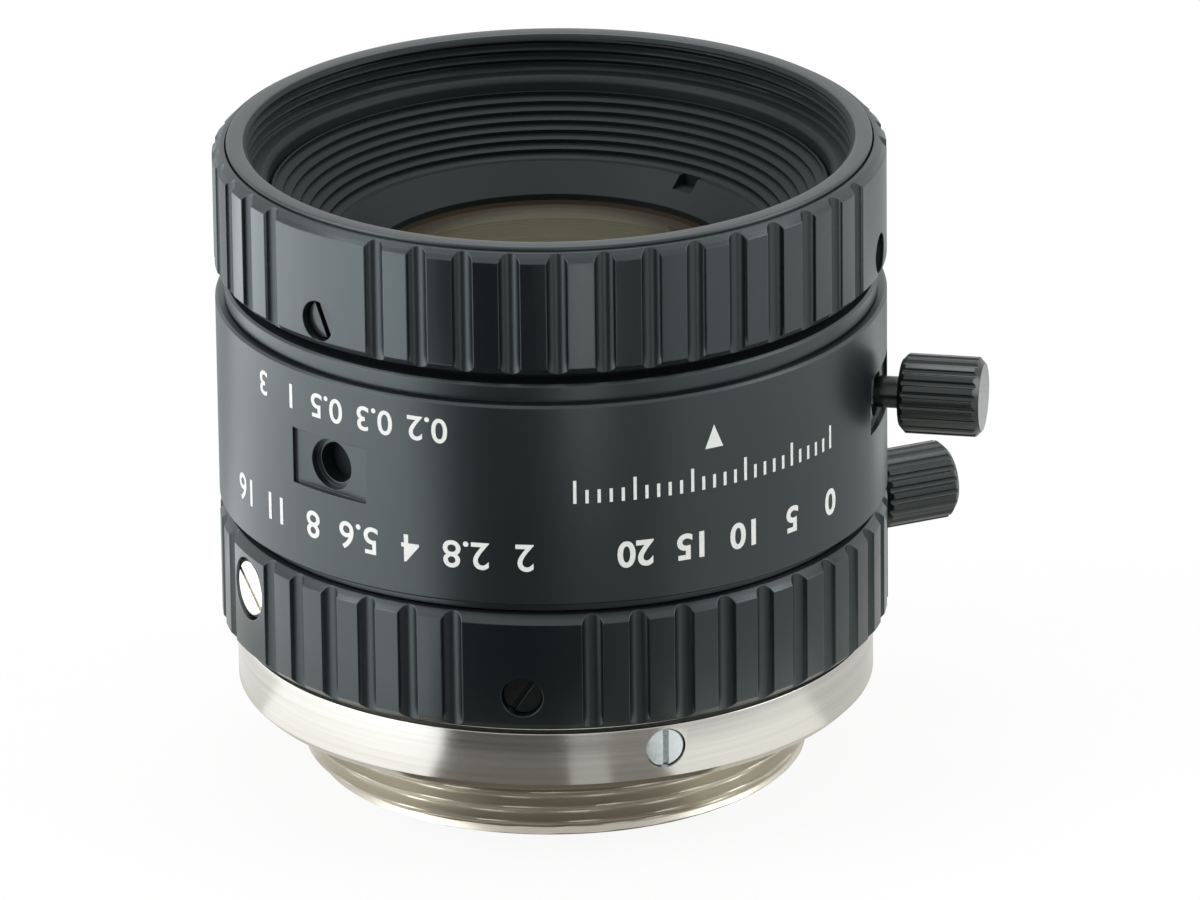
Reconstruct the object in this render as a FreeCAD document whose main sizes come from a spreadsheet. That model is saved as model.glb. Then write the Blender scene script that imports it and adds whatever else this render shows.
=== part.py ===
import FreeCAD, Part
import Sketcher
import math
import os
import re

# C-mount machine vision lens, with a fixed focal length, a focus ring, an iris
# ring and a locking thumbscrew for each ring.
#
# Frame: the optical axis is Z, the front of the lens looks to +Z, and z = 0 is
# the flange face that seats on a camera. Turns are in degrees about +Z, from +X.
# The focus ring is at infinity, the iris is wide open and both locks are tight.

doc = FreeCAD.newDocument("VisionLens")
sheet = doc.addObject("Spreadsheet::Sheet", "dims")
kept = {}

# Driving dimensions, in millimetres and degrees
sizes = {
    # Clearances
    "running_fit": 0.05,
    "seat_fit": 0.02,
    "thread_fit": 0.03,
    "face_gap": 0.05,
    # Camera mount: a 1 inch 32 thread and its plated ring
    "mount_thread_radius": 12.7,
    "mount_thread_length": 3.8,
    "mount_thread_chamfer": 0.4,
    "mount_relief_depth": 0.55,
    "mount_relief_length": 0.7,
    "mount_relief_height": 0.2,
    "mount_relief_margin": 0.4,
    "mount_ring_height": 3.15,
    "mount_ring_step_width": 0.75,
    "mount_ring_edge": 0.4,
    "mount_floor": 0.8,
    "mount_boss_height": 0.35,
    "mount_boss_step_width": 0.5,
    "mount_thread_wall": 1.5,
    "mount_bore_gap": 0.3,
    # Outer barrel
    "barrel_length": 10.45,
    "barrel_wall": 1.5,
    "barrel_edge": 0.12,
    "barrel_groove_width": 0.1,
    "barrel_groove_depth": 0.6,
    "barrel_band_length": 0.85,
    "barrel_band_step_width": 0.45,
    "collar_height": 0.55,
    "collar_step_width": 0.75,
    "shoulder_height": 2.05,
    "spigot_step_width": 0.35,
    "spigot_wall": 1.25,
    "lower_bore_gap": 0.2,
    # Grip rings and the flutes milled into them
    "focus_ring_gap": 0.55,
    "focus_ring_height": 6.3,
    "focus_ring_wall": 1.25,
    "focus_ring_edge": 0.42,
    "iris_ring_height": 6.1,
    "iris_ring_wall": 1.7,
    "iris_ring_edge": 0.42,
    "flute_width": 1.05,
    "flute_depth": 0.4,
    "flute_places": 45,
    "panel_places": 2,
    "focus_panel_turn": -13,
    "iris_panel_turn": 24.2,
    # Focus sleeve, its front rim and the filter thread
    "sleeve_wall": 1.2,
    "sleeve_floor_gap": 0.3,
    "rim_rise": 0.2,
    "rim_height": 1.1,
    "rim_step_width": 0.7,
    "rim_gap": 0.07,
    "rim_edge": 0.12,
    "filter_step_width": 0.98,
    "filter_depth": 1.9,
    "filter_chamfer": 0.25,
    "swivel_step_width": 0.35,
    "swivel_flange_height": 1.95,
    "swivel_ring_height": 1.0,
    "focus_travel": 1.0,
    "focus_range": 90,
    "stop_pin_radius": 0.4,
    "stop_pin_turn": 45,
    "stop_pin_depth": 1.2,
    # Optics barrel and the stepped funnel in front of the glass
    "funnel_setback": 2.6,
    "funnel_depth": 2.6,
    "funnel_width": 2.83,
    "funnel_lip": 0.25,
    "funnel_steps": 7,
    "funnel_undercut": 0.06,
    "funnel_wall_share": 0.6,
    "optics_lower_wall": 1.45,
    "front_cone_width": 1.3,
    "front_ring_height": 1.6,
    "front_ring_thread": 0.45,
    "front_ring_land": 0.3,
    "spanner_turn": 48,
    "spanner_width": 1.2,
    "spanner_depth": 0.6,
    "bore_step_width": 0.3,
    "guide_turn": 90,
    "guide_depth": 0.95,
    "guide_pin_radius": 0.75,
    "guide_drop": 0.6,
    # Front lens group
    "front_lens_radius": 10.4,
    "front_lens_edge": 2.4,
    "front_lens_land": 1.2,
    "front_lens_curve": 45,
    "front_lens_back_land": 1.9,
    "front_lens_back_curve": 20,
    "front_spacer_length": 1.9,
    "second_lens_step_width": 0.8,
    "second_lens_edge": 2.2,
    "second_lens_curve": 24,
    "second_lens_back_curve": 60,
    "second_spacer_length": 1.9,
    "third_lens_step_width": 1,
    "third_lens_edge": 2.2,
    "third_lens_curve": 40,
    "third_lens_back_land": 2.6,
    "third_lens_back_curve": 14,
    "spacer_land": 0.9,
    "lens_relief": 0.3,
    # Iris: base plate, six blades on studs, and the cam ring that turns them
    "blades": 6,
    "iris_range": 60,
    "blade_swing": 29,
    "aperture_radius": 5,
    "iris_rise": 1.7,
    "cam_disc_thickness": 0.65,
    "cam_disc_width": 3.7,
    "cam_skirt_wall": 0.8,
    "cam_skirt_drop": 2,
    "blade_space": 0.9,
    "blade_thickness": 0.06,
    "blade_spacing": 0.1,
    "blade_pivot_margin": 1.4,
    "blade_arm": 3,
    "blade_overlap": 0.2,
    "blade_outer_margin": 0.5,
    "blade_sweep": 92,
    "blade_stud_radius": 0.35,
    "blade_eye_wall": 0.4,
    "iris_base_thickness": 0.7,
    # Rear cell and the rear lens group
    "cell_wall": 2.5,
    "cell_flange_margin": 0.1,
    "cell_flange_height": 0.7,
    "cell_thread_length": 1.7,
    "cell_neck_length": 1.5,
    "cell_lip": 0.8,
    "doublet_front_edge": 4.3,
    "doublet_front_land": 2.8,
    "doublet_front_curve": 12,
    "doublet_cement_curve": 18,
    "doublet_back_edge": 0.6,
    "doublet_back_land": 0.8,
    "doublet_back_curve": 24,
    "rear_spacer_length": 2,
    "rear_lens_edge": 1.1,
    "rear_lens_land": 1,
    "rear_lens_curve": 60,
    "rear_lens_back_land": 1.2,
    "rear_lens_back_curve": 40,
    "rear_ring_height": 0.8,
    "rear_ring_thread": 0.5,
    # Screws
    "set_screw_radius": 1,
    "set_screw_recess": 0.4,
    "set_screw_chamfer": 0.15,
    "screw_slot_width": 0.3,
    "screw_slot_depth": 0.35,
    "mount_screw_turn": -70.4,
    "mount_screw_height": 1.95,
    "mount_screw_recess": 0.12,
    "focus_screw_rise": 1.4,
    "iris_screw_rise": 1.85,
    "drive_screw_turn": -155.8,
    "drive_screw_rise": 3.85,
    "drive_screw_radius": 0.8,
    "drive_head_radius": 1.5,
    "drive_head_height": 0.85,
    "drive_head_recess": 0.12,
    "drive_head_gap": 0.1,
    "drive_slot_tilt": 60,
    # Locking thumbscrews
    "lock_screw_radius": 1,
    "lock_pad_length": 0.4,
    "lock_pad_radius": 0.8,
    "lock_neck_radius": 0.8,
    "lock_knob_radius": 2,
    "lock_knob_length": 4.1,
    "lock_knob_gap": 1,
    "lock_knob_edge": 0.3,
    "lock_flutes": 20,
    "lock_flute_depth": 0.14,
    "lock_flute_width": 0.36,
    "focus_lock_turn": -11.5,
    "focus_lock_rise": 5.85,
    "iris_lock_rise": 3.05,
    "lock_pocket_length": 4.8,
    "lock_pocket_depth": 0.35,
    "lock_pocket_margin": 0.15,
    "counterbore_radius": 1.3,
    "counterbore_depth": 0.4,
}
for row, (name, number) in enumerate(sizes.items(), start=1):
    sheet.set(f"A{row}", name)
    sheet.set(f"B{row}", str(number))
    sheet.setAlias(f"B{row}", name)
doc.recompute()


def formula(text):
    """Point each word of a formula that names a size at its cell."""
    return re.sub(r"[a-z_]+", lambda word: f"dims.{word[0]}" if word[0] in sizes else word[0], text)


def value(text):
    """Work out a formula now, in millimetres or degrees."""
    return float(doc.getObject("dims").evalExpression(formula(text)))


def bind(thing, place, text):
    """Tie one size of a feature to its formula."""
    thing.setExpression(place, formula(text))


# Radii, worked out from the front glass outwards, then inwards to the iris
front_ring_radius = "(front_lens_radius + front_ring_thread)"
funnel_bore = f"({front_ring_radius} + seat_fit)"
optics_radius = f"({funnel_bore} + funnel_width + funnel_lip)"
sleeve_bore = f"({optics_radius} + running_fit)"
sleeve_radius = f"({sleeve_bore} + sleeve_wall)"
swivel_radius = f"({sleeve_bore} + swivel_step_width)"
filter_radius = f"({sleeve_bore} + filter_step_width)"
barrel_bore = f"({sleeve_radius} + running_fit)"
body_radius = f"({barrel_bore} + barrel_wall)"
seat_radius = f"({body_radius} - focus_ring_wall)"
rim_radius = f"({body_radius} - rim_step_width)"
mount_radius = f"({body_radius} - mount_ring_step_width)"
boss_radius = f"({mount_radius} - mount_boss_step_width)"
neck_radius = f"({body_radius} - iris_ring_wall - running_fit)"
iris_bore = f"({neck_radius} + running_fit)"
spigot_radius = f"({neck_radius} - spigot_step_width)"
lower_bore = f"({spigot_radius} - spigot_wall)"
optics_lower_radius = f"({lower_bore} - lower_bore_gap)"
cam_bore = f"({optics_lower_radius} - optics_lower_wall)"
cam_radius = f"({cam_bore} - running_fit)"
skirt_bore = f"({cam_radius} - cam_skirt_wall)"
blade_limit = f"({skirt_bore} - 2 * running_fit)"
blade_pivot_radius = f"({blade_limit} - blade_pivot_margin)"
mount_bore = "(mount_thread_radius - mount_thread_wall)"
cell_radius = f"({mount_bore} - mount_bore_gap)"
doublet_radius = f"({cell_radius} - cell_wall)"
tapped_radius = "(set_screw_radius + thread_fit)"

# Heights, worked out from the flange face upwards
neck_base = "(mount_ring_height + mount_boss_height)"
iris_base_z = f"({neck_base} + face_gap)"
iris_top_z = f"({iris_base_z} + iris_ring_height)"
collar_z = f"({iris_top_z} + face_gap)"
body_z = f"({collar_z} + collar_height)"
shoulder_z = f"({body_z} + shoulder_height)"
groove_z = f"({body_z} + barrel_length)"
band_z = f"({groove_z} + barrel_groove_width)"
barrel_top = f"({band_z} + barrel_band_length)"
focus_base_z = f"({barrel_top} + focus_ring_gap)"
focus_top_z = f"({focus_base_z} + focus_ring_height)"
rim_top = f"({focus_top_z} + rim_rise)"
rim_base = f"({rim_top} - rim_height)"
filter_floor = f"({rim_top} - filter_depth)"
sleeve_base = f"({shoulder_z} + sleeve_floor_gap)"
swivel_ring_z = f"({sleeve_base} + swivel_step_width)"
swivel_flange_z = f"({swivel_ring_z} + swivel_ring_height + face_gap)"
swivel_top_z = f"({swivel_flange_z} + swivel_flange_height)"

# Heights of the front glass, worked out from the rim downwards
funnel_top = f"({rim_top} - funnel_setback)"
funnel_floor = f"({funnel_top} - funnel_depth)"
front_lens_z = f"({funnel_floor} - front_ring_height)"
front_lens_back = f"({front_lens_z} - front_lens_edge)"
second_lens_z = f"({front_lens_back} - front_spacer_length)"
second_lens_back = f"({second_lens_z} - second_lens_edge)"
third_lens_z = f"({second_lens_back} - second_spacer_length)"
third_lens_back = f"({third_lens_z} - third_lens_edge)"

# Heights of the iris and the rear glass, worked out from the drive screw
drive_z = f"({iris_base_z} + drive_screw_rise)"
land_z = f"({drive_z} + iris_rise)"
cam_top = f"({land_z} - face_gap)"
cam_floor = f"({cam_top} - cam_disc_thickness)"
skirt_base = f"({drive_z} - cam_skirt_drop)"
base_top = f"({cam_floor} - blade_space)"
cell_front = f"({base_top} - iris_base_thickness)"
cell_thread_top = f"({cell_front} - cell_neck_length)"
optics_base = f"({cell_thread_top} - cell_thread_length)"
doublet_z = f"({cell_front} - cell_lip)"
cement_z = f"({doublet_z} - doublet_front_edge)"
doublet_back = f"({cement_z} - doublet_back_edge)"
rear_lens_z = f"({doublet_back} - rear_spacer_length)"
rear_lens_back = f"({rear_lens_z} - rear_lens_edge)"
cell_base = f"({rear_lens_back} - rear_ring_height - face_gap)"

# Places of the screws
guide_z = f"({drive_z} + guide_drop)"
focus_screw_z = f"({focus_base_z} + focus_screw_rise)"
iris_screw_z = f"({iris_base_z} + iris_screw_rise)"
focus_lock_z = f"({body_z} + focus_lock_rise)"
iris_lock_z = f"({iris_base_z} + iris_lock_rise)"
pin_place = f"(({swivel_radius} + {sleeve_radius}) / 2)"
pin_top = f"({sleeve_base} + focus_travel + stop_pin_radius + face_gap)"


def origin_part(body, role):
    """Find one of the body's own origin planes or axes."""
    return next(item for item in body.Origin.OriginFeatures if item.Role == role)


def new_body(label):
    """Start a piece that is made feature by feature."""
    body = doc.addObject("PartDesign::Body", label)
    body.Label = label
    return body


def keep(piece, label):
    """Name a finished piece as one that is written out."""
    piece.Label = label
    kept[label] = piece


def upright_sketch(body, name, turn, height):
    """Put a sketch on the upright plane at a turn about Z: x is the radius, y the height."""
    sketch = body.newObject("Sketcher::SketchObject", name)
    sketch.AttachmentSupport = [(origin_part(body, "XZ_Plane"), "")]
    sketch.MapMode = "FlatFace"
    upright = FreeCAD.Rotation(FreeCAD.Vector(0, 1, 0), value(turn))
    sketch.AttachmentOffset = FreeCAD.Placement(FreeCAD.Vector(0, value(height), 0), upright)
    bind(sketch, "AttachmentOffset.Rotation.Angle", turn)
    bind(sketch, "AttachmentOffset.Base.y", height)
    return sketch


def dome_between(first, last):
    """Arc between two points with its centre on the axis x = 0, and which end it starts at."""
    rise = last.y - first.y
    centre_y = (last.x**2 + last.y**2 - first.x**2 - first.y**2) / (2 * rise)
    centre = FreeCAD.Vector(0, centre_y, 0)
    angles = [math.atan2(point.y - centre_y, point.x) for point in (first, last)]
    circle = Part.Circle(centre, FreeCAD.Vector(0, 0, 1), first.distanceToPoint(centre))
    forward = (angles[1] - angles[0]) % (2 * math.pi) < math.pi
    if forward:
        return Part.ArcOfCircle(circle, angles[0], angles[1]), (1, 2)
    return Part.ArcOfCircle(circle, angles[1], angles[0]), (2, 1)


def draw_outline(sketch, outline):
    """Draw a closed outline whose corners are tied to formulas.

    Each corner is (x, y), or (x, y, "dome") where the stretch that follows it
    is an arc with its centre on the axis.
    """
    corners = [FreeCAD.Vector(value(corner[0]), value(corner[1]), 0) for corner in outline]
    ends = []
    for index, corner in enumerate(outline):
        first = corners[index]
        last = corners[(index + 1) % len(corners)]
        if len(corner) == 3:
            stretch, order = dome_between(first, last)
        else:
            stretch = Part.LineSegment(first, last)
            order = (1, 2)
        ends.append((sketch.addGeometry(stretch), *order))
    for index, (line, start, finish) in enumerate(ends):
        follower, follower_start = ends[(index + 1) % len(ends)][:2]
        sketch.addConstraint(Sketcher.Constraint("Coincident", line, finish, follower, follower_start))
        if len(outline[index]) == 3:
            sketch.addConstraint(Sketcher.Constraint("PointOnObject", line, 3, -2))
        for kind, axis, text, number in (
            ("DistanceX", -2, outline[index][0], corners[index].x),
            ("DistanceY", -1, outline[index][1], corners[index].y),
        ):
            if text == "0":
                sketch.addConstraint(Sketcher.Constraint("PointOnObject", line, start, axis))
                continue
            tied = sketch.addConstraint(Sketcher.Constraint(kind, -1, 1, line, start, number))
            bind(sketch, f"Constraints[{tied}]", text)


def turned(body, name, outline, kind="Revolution", axis="V_Axis", turn="0", height="0", sweep="360"):
    """Revolve an outline about the optical axis (V_Axis) or about a radial line (H_Axis)."""
    sketch = upright_sketch(body, f"{name}Outline", turn, height)
    draw_outline(sketch, outline)
    feature = body.newObject(f"PartDesign::{kind}", name)
    feature.Profile = sketch
    feature.ReferenceAxis = (sketch, [axis])
    bind(feature, "Angle", sweep)
    body.Tip = feature
    return feature


def block_cut(body, name, turn, near, far, floor, top, half_width):
    """Cut a straight slot, square to the radius at a turn about the optical axis."""
    box = body.newObject("PartDesign::SubtractiveBox", name)
    box.AttachmentSupport = [(origin_part(body, "XY_Plane"), "")]
    box.MapMode = "FlatFace"
    about_axis = FreeCAD.Rotation(FreeCAD.Vector(0, 0, 1), value(turn))
    box.AttachmentOffset = FreeCAD.Placement(FreeCAD.Vector(), about_axis)
    bind(box, "Length", f"{far} - {near}")
    bind(box, "Width", f"2 * {half_width}")
    bind(box, "Height", f"{top} - {floor}")
    bind(box, "AttachmentOffset.Rotation.Angle", turn)
    bind(box, "AttachmentOffset.Base.x", f"{near} * cos({turn}) + {half_width} * sin({turn})")
    bind(box, "AttachmentOffset.Base.y", f"{near} * sin({turn}) - {half_width} * cos({turn})")
    bind(box, "AttachmentOffset.Base.z", floor)
    body.Tip = box
    return box


def around(body, name, originals, count, sweep="360"):
    """Repeat features about the optical axis."""
    pattern = body.newObject("PartDesign::PolarPattern", name)
    pattern.Originals = originals
    pattern.Axis = (origin_part(body, "Z_Axis"), [""])
    bind(pattern, "Angle", sweep)
    bind(pattern, "Occurrences", count)
    body.Tip = pattern
    return pattern


def ring_outline(bore, radius, base, top, edge):
    """Outline of a plain ring with both outer edges chamfered."""
    return [
        (bore, base),
        (f"{radius} - {edge}", base),
        (radius, f"{base} + {edge}"),
        (radius, f"{top} - {edge}"),
        (f"{radius} - {edge}", top),
        (bore, top),
    ]


def hole_outline(near, far, radius):
    """Half outline of a radial hole, from one distance off the optical axis to another."""
    return [(near, "0"), (far, "0"), (far, radius), (near, radius)]


# Outer barrel: one turned aluminium tube. Its neck carries the iris ring, its
# spigot goes into the mount ring and its upper bore holds the focus helicoid.
barrel = new_body("outer_barrel")
band_radius = f"({body_radius} - barrel_band_step_width)"
groove_radius = f"({body_radius} - barrel_groove_depth)"
collar_radius = f"({body_radius} - collar_step_width)"
spigot_base = "(mount_floor + face_gap)"
turned(
    barrel,
    "Tube",
    [
        (lower_bore, spigot_base),
        (spigot_radius, spigot_base),
        (spigot_radius, neck_base),
        (neck_radius, neck_base),
        (neck_radius, collar_z),
        (collar_radius, collar_z),
        (collar_radius, body_z),
        (f"{body_radius} - barrel_edge", body_z),
        (body_radius, f"{body_z} + barrel_edge"),
        (body_radius, f"{groove_z} - barrel_edge"),
        (f"{body_radius} - barrel_edge", groove_z),
        (groove_radius, groove_z),
        (groove_radius, band_z),
        (band_radius, band_z),
        (band_radius, f"{barrel_top} - barrel_edge"),
        (f"{band_radius} - barrel_edge", barrel_top),
        (barrel_bore, barrel_top),
        (barrel_bore, shoulder_z),
        (lower_bore, shoulder_z),
    ],
)
past_body = f"({body_radius} + 1)"
pocket_floor = f"({body_radius} - lock_pocket_depth)"
counterbore_floor = f"({pocket_floor} - counterbore_depth)"
lock_hole = turned(
    barrel,
    "LockHole",
    [
        (f"{barrel_bore} - 1", "0"),
        (past_body, "0"),
        (past_body, "counterbore_radius"),
        (counterbore_floor, "counterbore_radius"),
        (counterbore_floor, "lock_screw_radius + thread_fit"),
        (f"{barrel_bore} - 1", "lock_screw_radius + thread_fit"),
    ],
    "Groove",
    "H_Axis",
    "focus_lock_turn",
    focus_lock_z,
)
around(barrel, "LockHoles", [lock_hole], "3")
pocket_half = "(counterbore_radius + lock_pocket_margin)"
lock_pocket = block_cut(
    barrel,
    "LockPocket",
    "focus_lock_turn",
    pocket_floor,
    past_body,
    f"({focus_lock_z} - {pocket_half})",
    f"({focus_lock_z} + {pocket_half})",
    "(lock_pocket_length / 2)",
)
around(barrel, "LockPockets", [lock_pocket], "3")
drive_swing = f"(asin((drive_screw_radius + 2 * running_fit) / {lower_bore}) / (1 deg))"
drive_half = "(drive_screw_radius + running_fit)"
turned(
    barrel,
    "DriveSlot",
    [
        (f"{lower_bore} - 1", f"{drive_z} - {drive_half}"),
        (f"{neck_radius} + 1", f"{drive_z} - {drive_half}"),
        (f"{neck_radius} + 1", f"{drive_z} + {drive_half}"),
        (f"{lower_bore} - 1", f"{drive_z} + {drive_half}"),
    ],
    "Groove",
    "V_Axis",
    f"drive_screw_turn - {drive_swing}",
    "0",
    f"iris_range + 2 * {drive_swing}",
)
turned(
    barrel,
    "GuideHole",
    hole_outline(f"{lower_bore} - 1", f"{neck_radius} + 1", tapped_radius),
    "Groove",
    "H_Axis",
    "guide_turn",
    guide_z,
)
pin_hole = barrel.newObject("PartDesign::SubtractiveCylinder", "StopPinHole")
pin_hole.AttachmentSupport = [(origin_part(barrel, "XY_Plane"), "")]
pin_hole.MapMode = "FlatFace"
bind(pin_hole, "Radius", "stop_pin_radius")
bind(pin_hole, "Height", f"{pin_top} - {shoulder_z} + stop_pin_depth")
bind(pin_hole, "AttachmentOffset.Base.x", f"{pin_place} * cos(stop_pin_turn)")
bind(pin_hole, "AttachmentOffset.Base.y", f"{pin_place} * sin(stop_pin_turn)")
bind(pin_hole, "AttachmentOffset.Base.z", f"{shoulder_z} - stop_pin_depth")
barrel.Tip = pin_hole
keep(barrel, "outer_barrel")

# Mount ring: nickel-plated brass, turned in one piece with its thread. A relief
# in the corner clears both the thread's end and the inner edge of the flange
# seat. The ring is clamped on the barrel's spigot, so the flange distance can
# be set.
mount = new_body("c_mount_ring")
mount_cup = f"({spigot_radius} + seat_fit)"
relief_radius = "(mount_thread_radius - mount_relief_depth)"
seat_edge = "(mount_thread_radius + mount_relief_margin)"
turned(
    mount,
    "Ring",
    [
        (mount_bore, "-mount_thread_length"),
        ("mount_thread_radius - mount_thread_chamfer", "-mount_thread_length"),
        ("mount_thread_radius", "mount_thread_chamfer - mount_thread_length"),
        ("mount_thread_radius", "-mount_relief_length"),
        (relief_radius, "-mount_relief_length"),
        (relief_radius, "mount_relief_height"),
        (seat_edge, "mount_relief_height"),
        (seat_edge, "0"),
        (f"{mount_radius} - mount_ring_edge", "0"),
        (mount_radius, "mount_ring_edge"),
        (mount_radius, "mount_ring_height - barrel_edge"),
        (f"{mount_radius} - barrel_edge", "mount_ring_height"),
        (boss_radius, "mount_ring_height"),
        (boss_radius, neck_base),
        (mount_cup, neck_base),
        (mount_cup, "mount_floor"),
        (mount_bore, "mount_floor"),
    ],
)
mount_hole = turned(
    mount,
    "ScrewHole",
    hole_outline(f"{mount_cup} - 1", past_body, tapped_radius),
    "Groove",
    "H_Axis",
    "mount_screw_turn",
    "mount_screw_height",
)
around(mount, "ScrewHoles", [mount_hole], "3")
keep(mount, "c_mount_ring")


def place_radially(piece, turn, height):
    """Turn a piece made along +X to its place about the optical axis, and lift it."""
    piece.Placement.Rotation = FreeCAD.Rotation(FreeCAD.Vector(0, 0, 1), value(turn))
    bind(piece, "Placement.Rotation.Angle", turn)
    bind(piece, "Placement.Base.z", height)


def slot_cut(body, end, reach, tilt):
    """Cut a driver slot across the outer end of a screw that lies along +X."""
    slot = body.newObject("PartDesign::SubtractiveBox", "Slot")
    slot.AttachmentSupport = [(origin_part(body, "XY_Plane"), "")]
    slot.MapMode = "FlatFace"
    about_screw = FreeCAD.Rotation(FreeCAD.Vector(1, 0, 0), value(tilt))
    slot.AttachmentOffset = FreeCAD.Placement(FreeCAD.Vector(), about_screw)
    bind(slot, "Length", "2 * screw_slot_depth")
    bind(slot, "Width", "screw_slot_width")
    bind(slot, "Height", f"2 * {reach}")
    bind(slot, "AttachmentOffset.Rotation.Angle", tilt)
    bind(slot, "AttachmentOffset.Base.x", f"{end} - screw_slot_depth")
    bind(slot, "AttachmentOffset.Base.y", f"{reach} * sin({tilt}) - screw_slot_width / 2 * cos({tilt})")
    bind(slot, "AttachmentOffset.Base.z", f"-{reach} * cos({tilt}) - screw_slot_width / 2 * sin({tilt})")
    body.Tip = slot
    return slot


def set_screws(label, first_turn, height, near, end, count, tilt):
    """A group of like slotted set screws, a third of a turn apart about the optical axis."""
    group = doc.addObject("Part::Compound", label)
    screws = []
    for index in range(count):
        screw = new_body(f"{label}_{index + 1}")
        turned(
            screw,
            "Screw",
            [
                (near, "0"),
                (end, "0"),
                (end, "set_screw_radius - set_screw_chamfer / 2"),
                (f"{end} - set_screw_chamfer / 2", "set_screw_radius"),
                (f"{near} + set_screw_chamfer", "set_screw_radius"),
                (near, "set_screw_radius - set_screw_chamfer"),
            ],
            "Revolution",
            "H_Axis",
        )
        slot_cut(screw, end, "(2 * set_screw_radius)", tilt)
        place_radially(screw, f"{first_turn} + {120 * index}", height)
        screws.append(screw)
    group.Links = screws
    keep(group, label)


# Three set screws clamp the mount ring on the spigot
set_screws(
    "mount_set_screws",
    "mount_screw_turn",
    "mount_screw_height",
    f"({spigot_radius} + seat_fit / 2)",
    f"({mount_radius} - mount_screw_recess)",
    3,
    "0",
)

# Guide screw: a dog-point screw in the barrel's neck. Its point runs in the
# keyway of the optics barrel, so the optics slide but can't turn.
guide = new_body("guide_screw")
guide_end = f"({neck_radius} - face_gap)"
guide_tip = f"({optics_lower_radius} - guide_depth + seat_fit)"
turned(
    guide,
    "Screw",
    [
        (guide_tip, "0"),
        (guide_end, "0"),
        (guide_end, "set_screw_radius"),
        (lower_bore, "set_screw_radius"),
        (lower_bore, "guide_pin_radius"),
        (guide_tip, "guide_pin_radius"),
    ],
    "Revolution",
    "H_Axis",
)
slot_cut(guide, guide_end, "(2 * set_screw_radius)", "0")
place_radially(guide, "guide_turn", guide_z)
keep(guide, "guide_screw")

# Stop pin: a plain pin pressed into the barrel's shoulder. The ends of a notch
# in the focus sleeve meet it at each end of the focus turn.
stop_pin = doc.addObject("Part::Cylinder", "focus_stop_pin")
bind(stop_pin, "Radius", "stop_pin_radius")
bind(stop_pin, "Height", f"{pin_top} - {shoulder_z} + stop_pin_depth")
bind(stop_pin, "Placement.Base.x", f"{pin_place} * cos(stop_pin_turn)")
bind(stop_pin, "Placement.Base.y", f"{pin_place} * sin(stop_pin_turn)")
bind(stop_pin, "Placement.Base.z", f"{shoulder_z} - stop_pin_depth")
keep(stop_pin, "focus_stop_pin")

# Focus sleeve: aluminium, with the helicoid on its outside, the rim and filter
# thread at its front and a bore in which the optics barrel swivels.
sleeve = new_body("focus_sleeve")
turned(
    sleeve,
    "Tube",
    [
        (swivel_radius, sleeve_base),
        (sleeve_radius, sleeve_base),
        (sleeve_radius, f"{barrel_top} + focus_ring_gap / 2"),
        (seat_radius, f"{barrel_top} + focus_ring_gap / 2"),
        (seat_radius, rim_base),
        (rim_radius, rim_base),
        (rim_radius, f"{rim_top} - rim_edge"),
        (f"{rim_radius} - rim_edge", rim_top),
        (f"{filter_radius} + filter_chamfer", rim_top),
        (filter_radius, f"{rim_top} - filter_chamfer"),
        (filter_radius, filter_floor),
        (f"{sleeve_bore} + filter_chamfer", filter_floor),
        (sleeve_bore, f"{filter_floor} - filter_chamfer"),
        (sleeve_bore, f"{swivel_top_z} + face_gap"),
        (swivel_radius, f"{swivel_top_z} + face_gap"),
    ],
)
pin_swing = f"(asin((stop_pin_radius + running_fit) / {swivel_radius}) / (1 deg))"
turned(
    sleeve,
    "StopNotch",
    [
        (f"{swivel_radius} - swivel_step_width / 2", f"{sleeve_base} - face_gap"),
        (barrel_bore, f"{sleeve_base} - face_gap"),
        (barrel_bore, f"{pin_top} + face_gap"),
        (f"{swivel_radius} - swivel_step_width / 2", f"{pin_top} + face_gap"),
    ],
    "Groove",
    "V_Axis",
    f"stop_pin_turn - focus_range - {pin_swing}",
    "0",
    f"focus_range + 2 * {pin_swing}",
)
keep(sleeve, "focus_sleeve")

# Swivel ring: a threaded ring that holds the optics barrel's flange in the sleeve
swivel = new_body("swivel_ring")
swivel_bore = f"({optics_lower_radius} + running_fit)"
turned(
    swivel,
    "Ring",
    ring_outline(
        swivel_bore,
        f"{swivel_radius} - seat_fit",
        swivel_ring_z,
        f"{swivel_ring_z} + swivel_ring_height",
        "barrel_edge",
    ),
)
keep(swivel, "swivel_ring")

# Round-bottomed flutes: the cutter's radius follows from the flute's width and
# depth, and its axis lies just outside the ring.
flute_radius = "((flute_width ^ 2 / 4 + flute_depth ^ 2) / (2 * flute_depth))"
flute_place = f"({body_radius} - flute_depth + {flute_radius})"
flute_pitch = "(360 / flute_places)"
row_count = "(floor(flute_places / 3) - panel_places)"
row_start = f"({flute_pitch} * (panel_places + 1) / 2)"


def flute_row(body, name, base, top, first, count):
    """Mill a row of flutes along the outside of a grip ring."""
    cutter = body.newObject("PartDesign::SubtractiveCylinder", name)
    cutter.AttachmentSupport = [(origin_part(body, "XY_Plane"), "")]
    cutter.MapMode = "FlatFace"
    bind(cutter, "Radius", flute_radius)
    bind(cutter, "Height", f"{top} - {base} + 2 * flute_depth")
    bind(cutter, "AttachmentOffset.Base.x", f"{flute_place} * cos({first})")
    bind(cutter, "AttachmentOffset.Base.y", f"{flute_place} * sin({first})")
    bind(cutter, "AttachmentOffset.Base.z", f"{base} - flute_depth")
    body.Tip = cutter
    around(body, f"{name}Row", [cutter], count, f"{flute_pitch} * ({count} - 1)")


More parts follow.
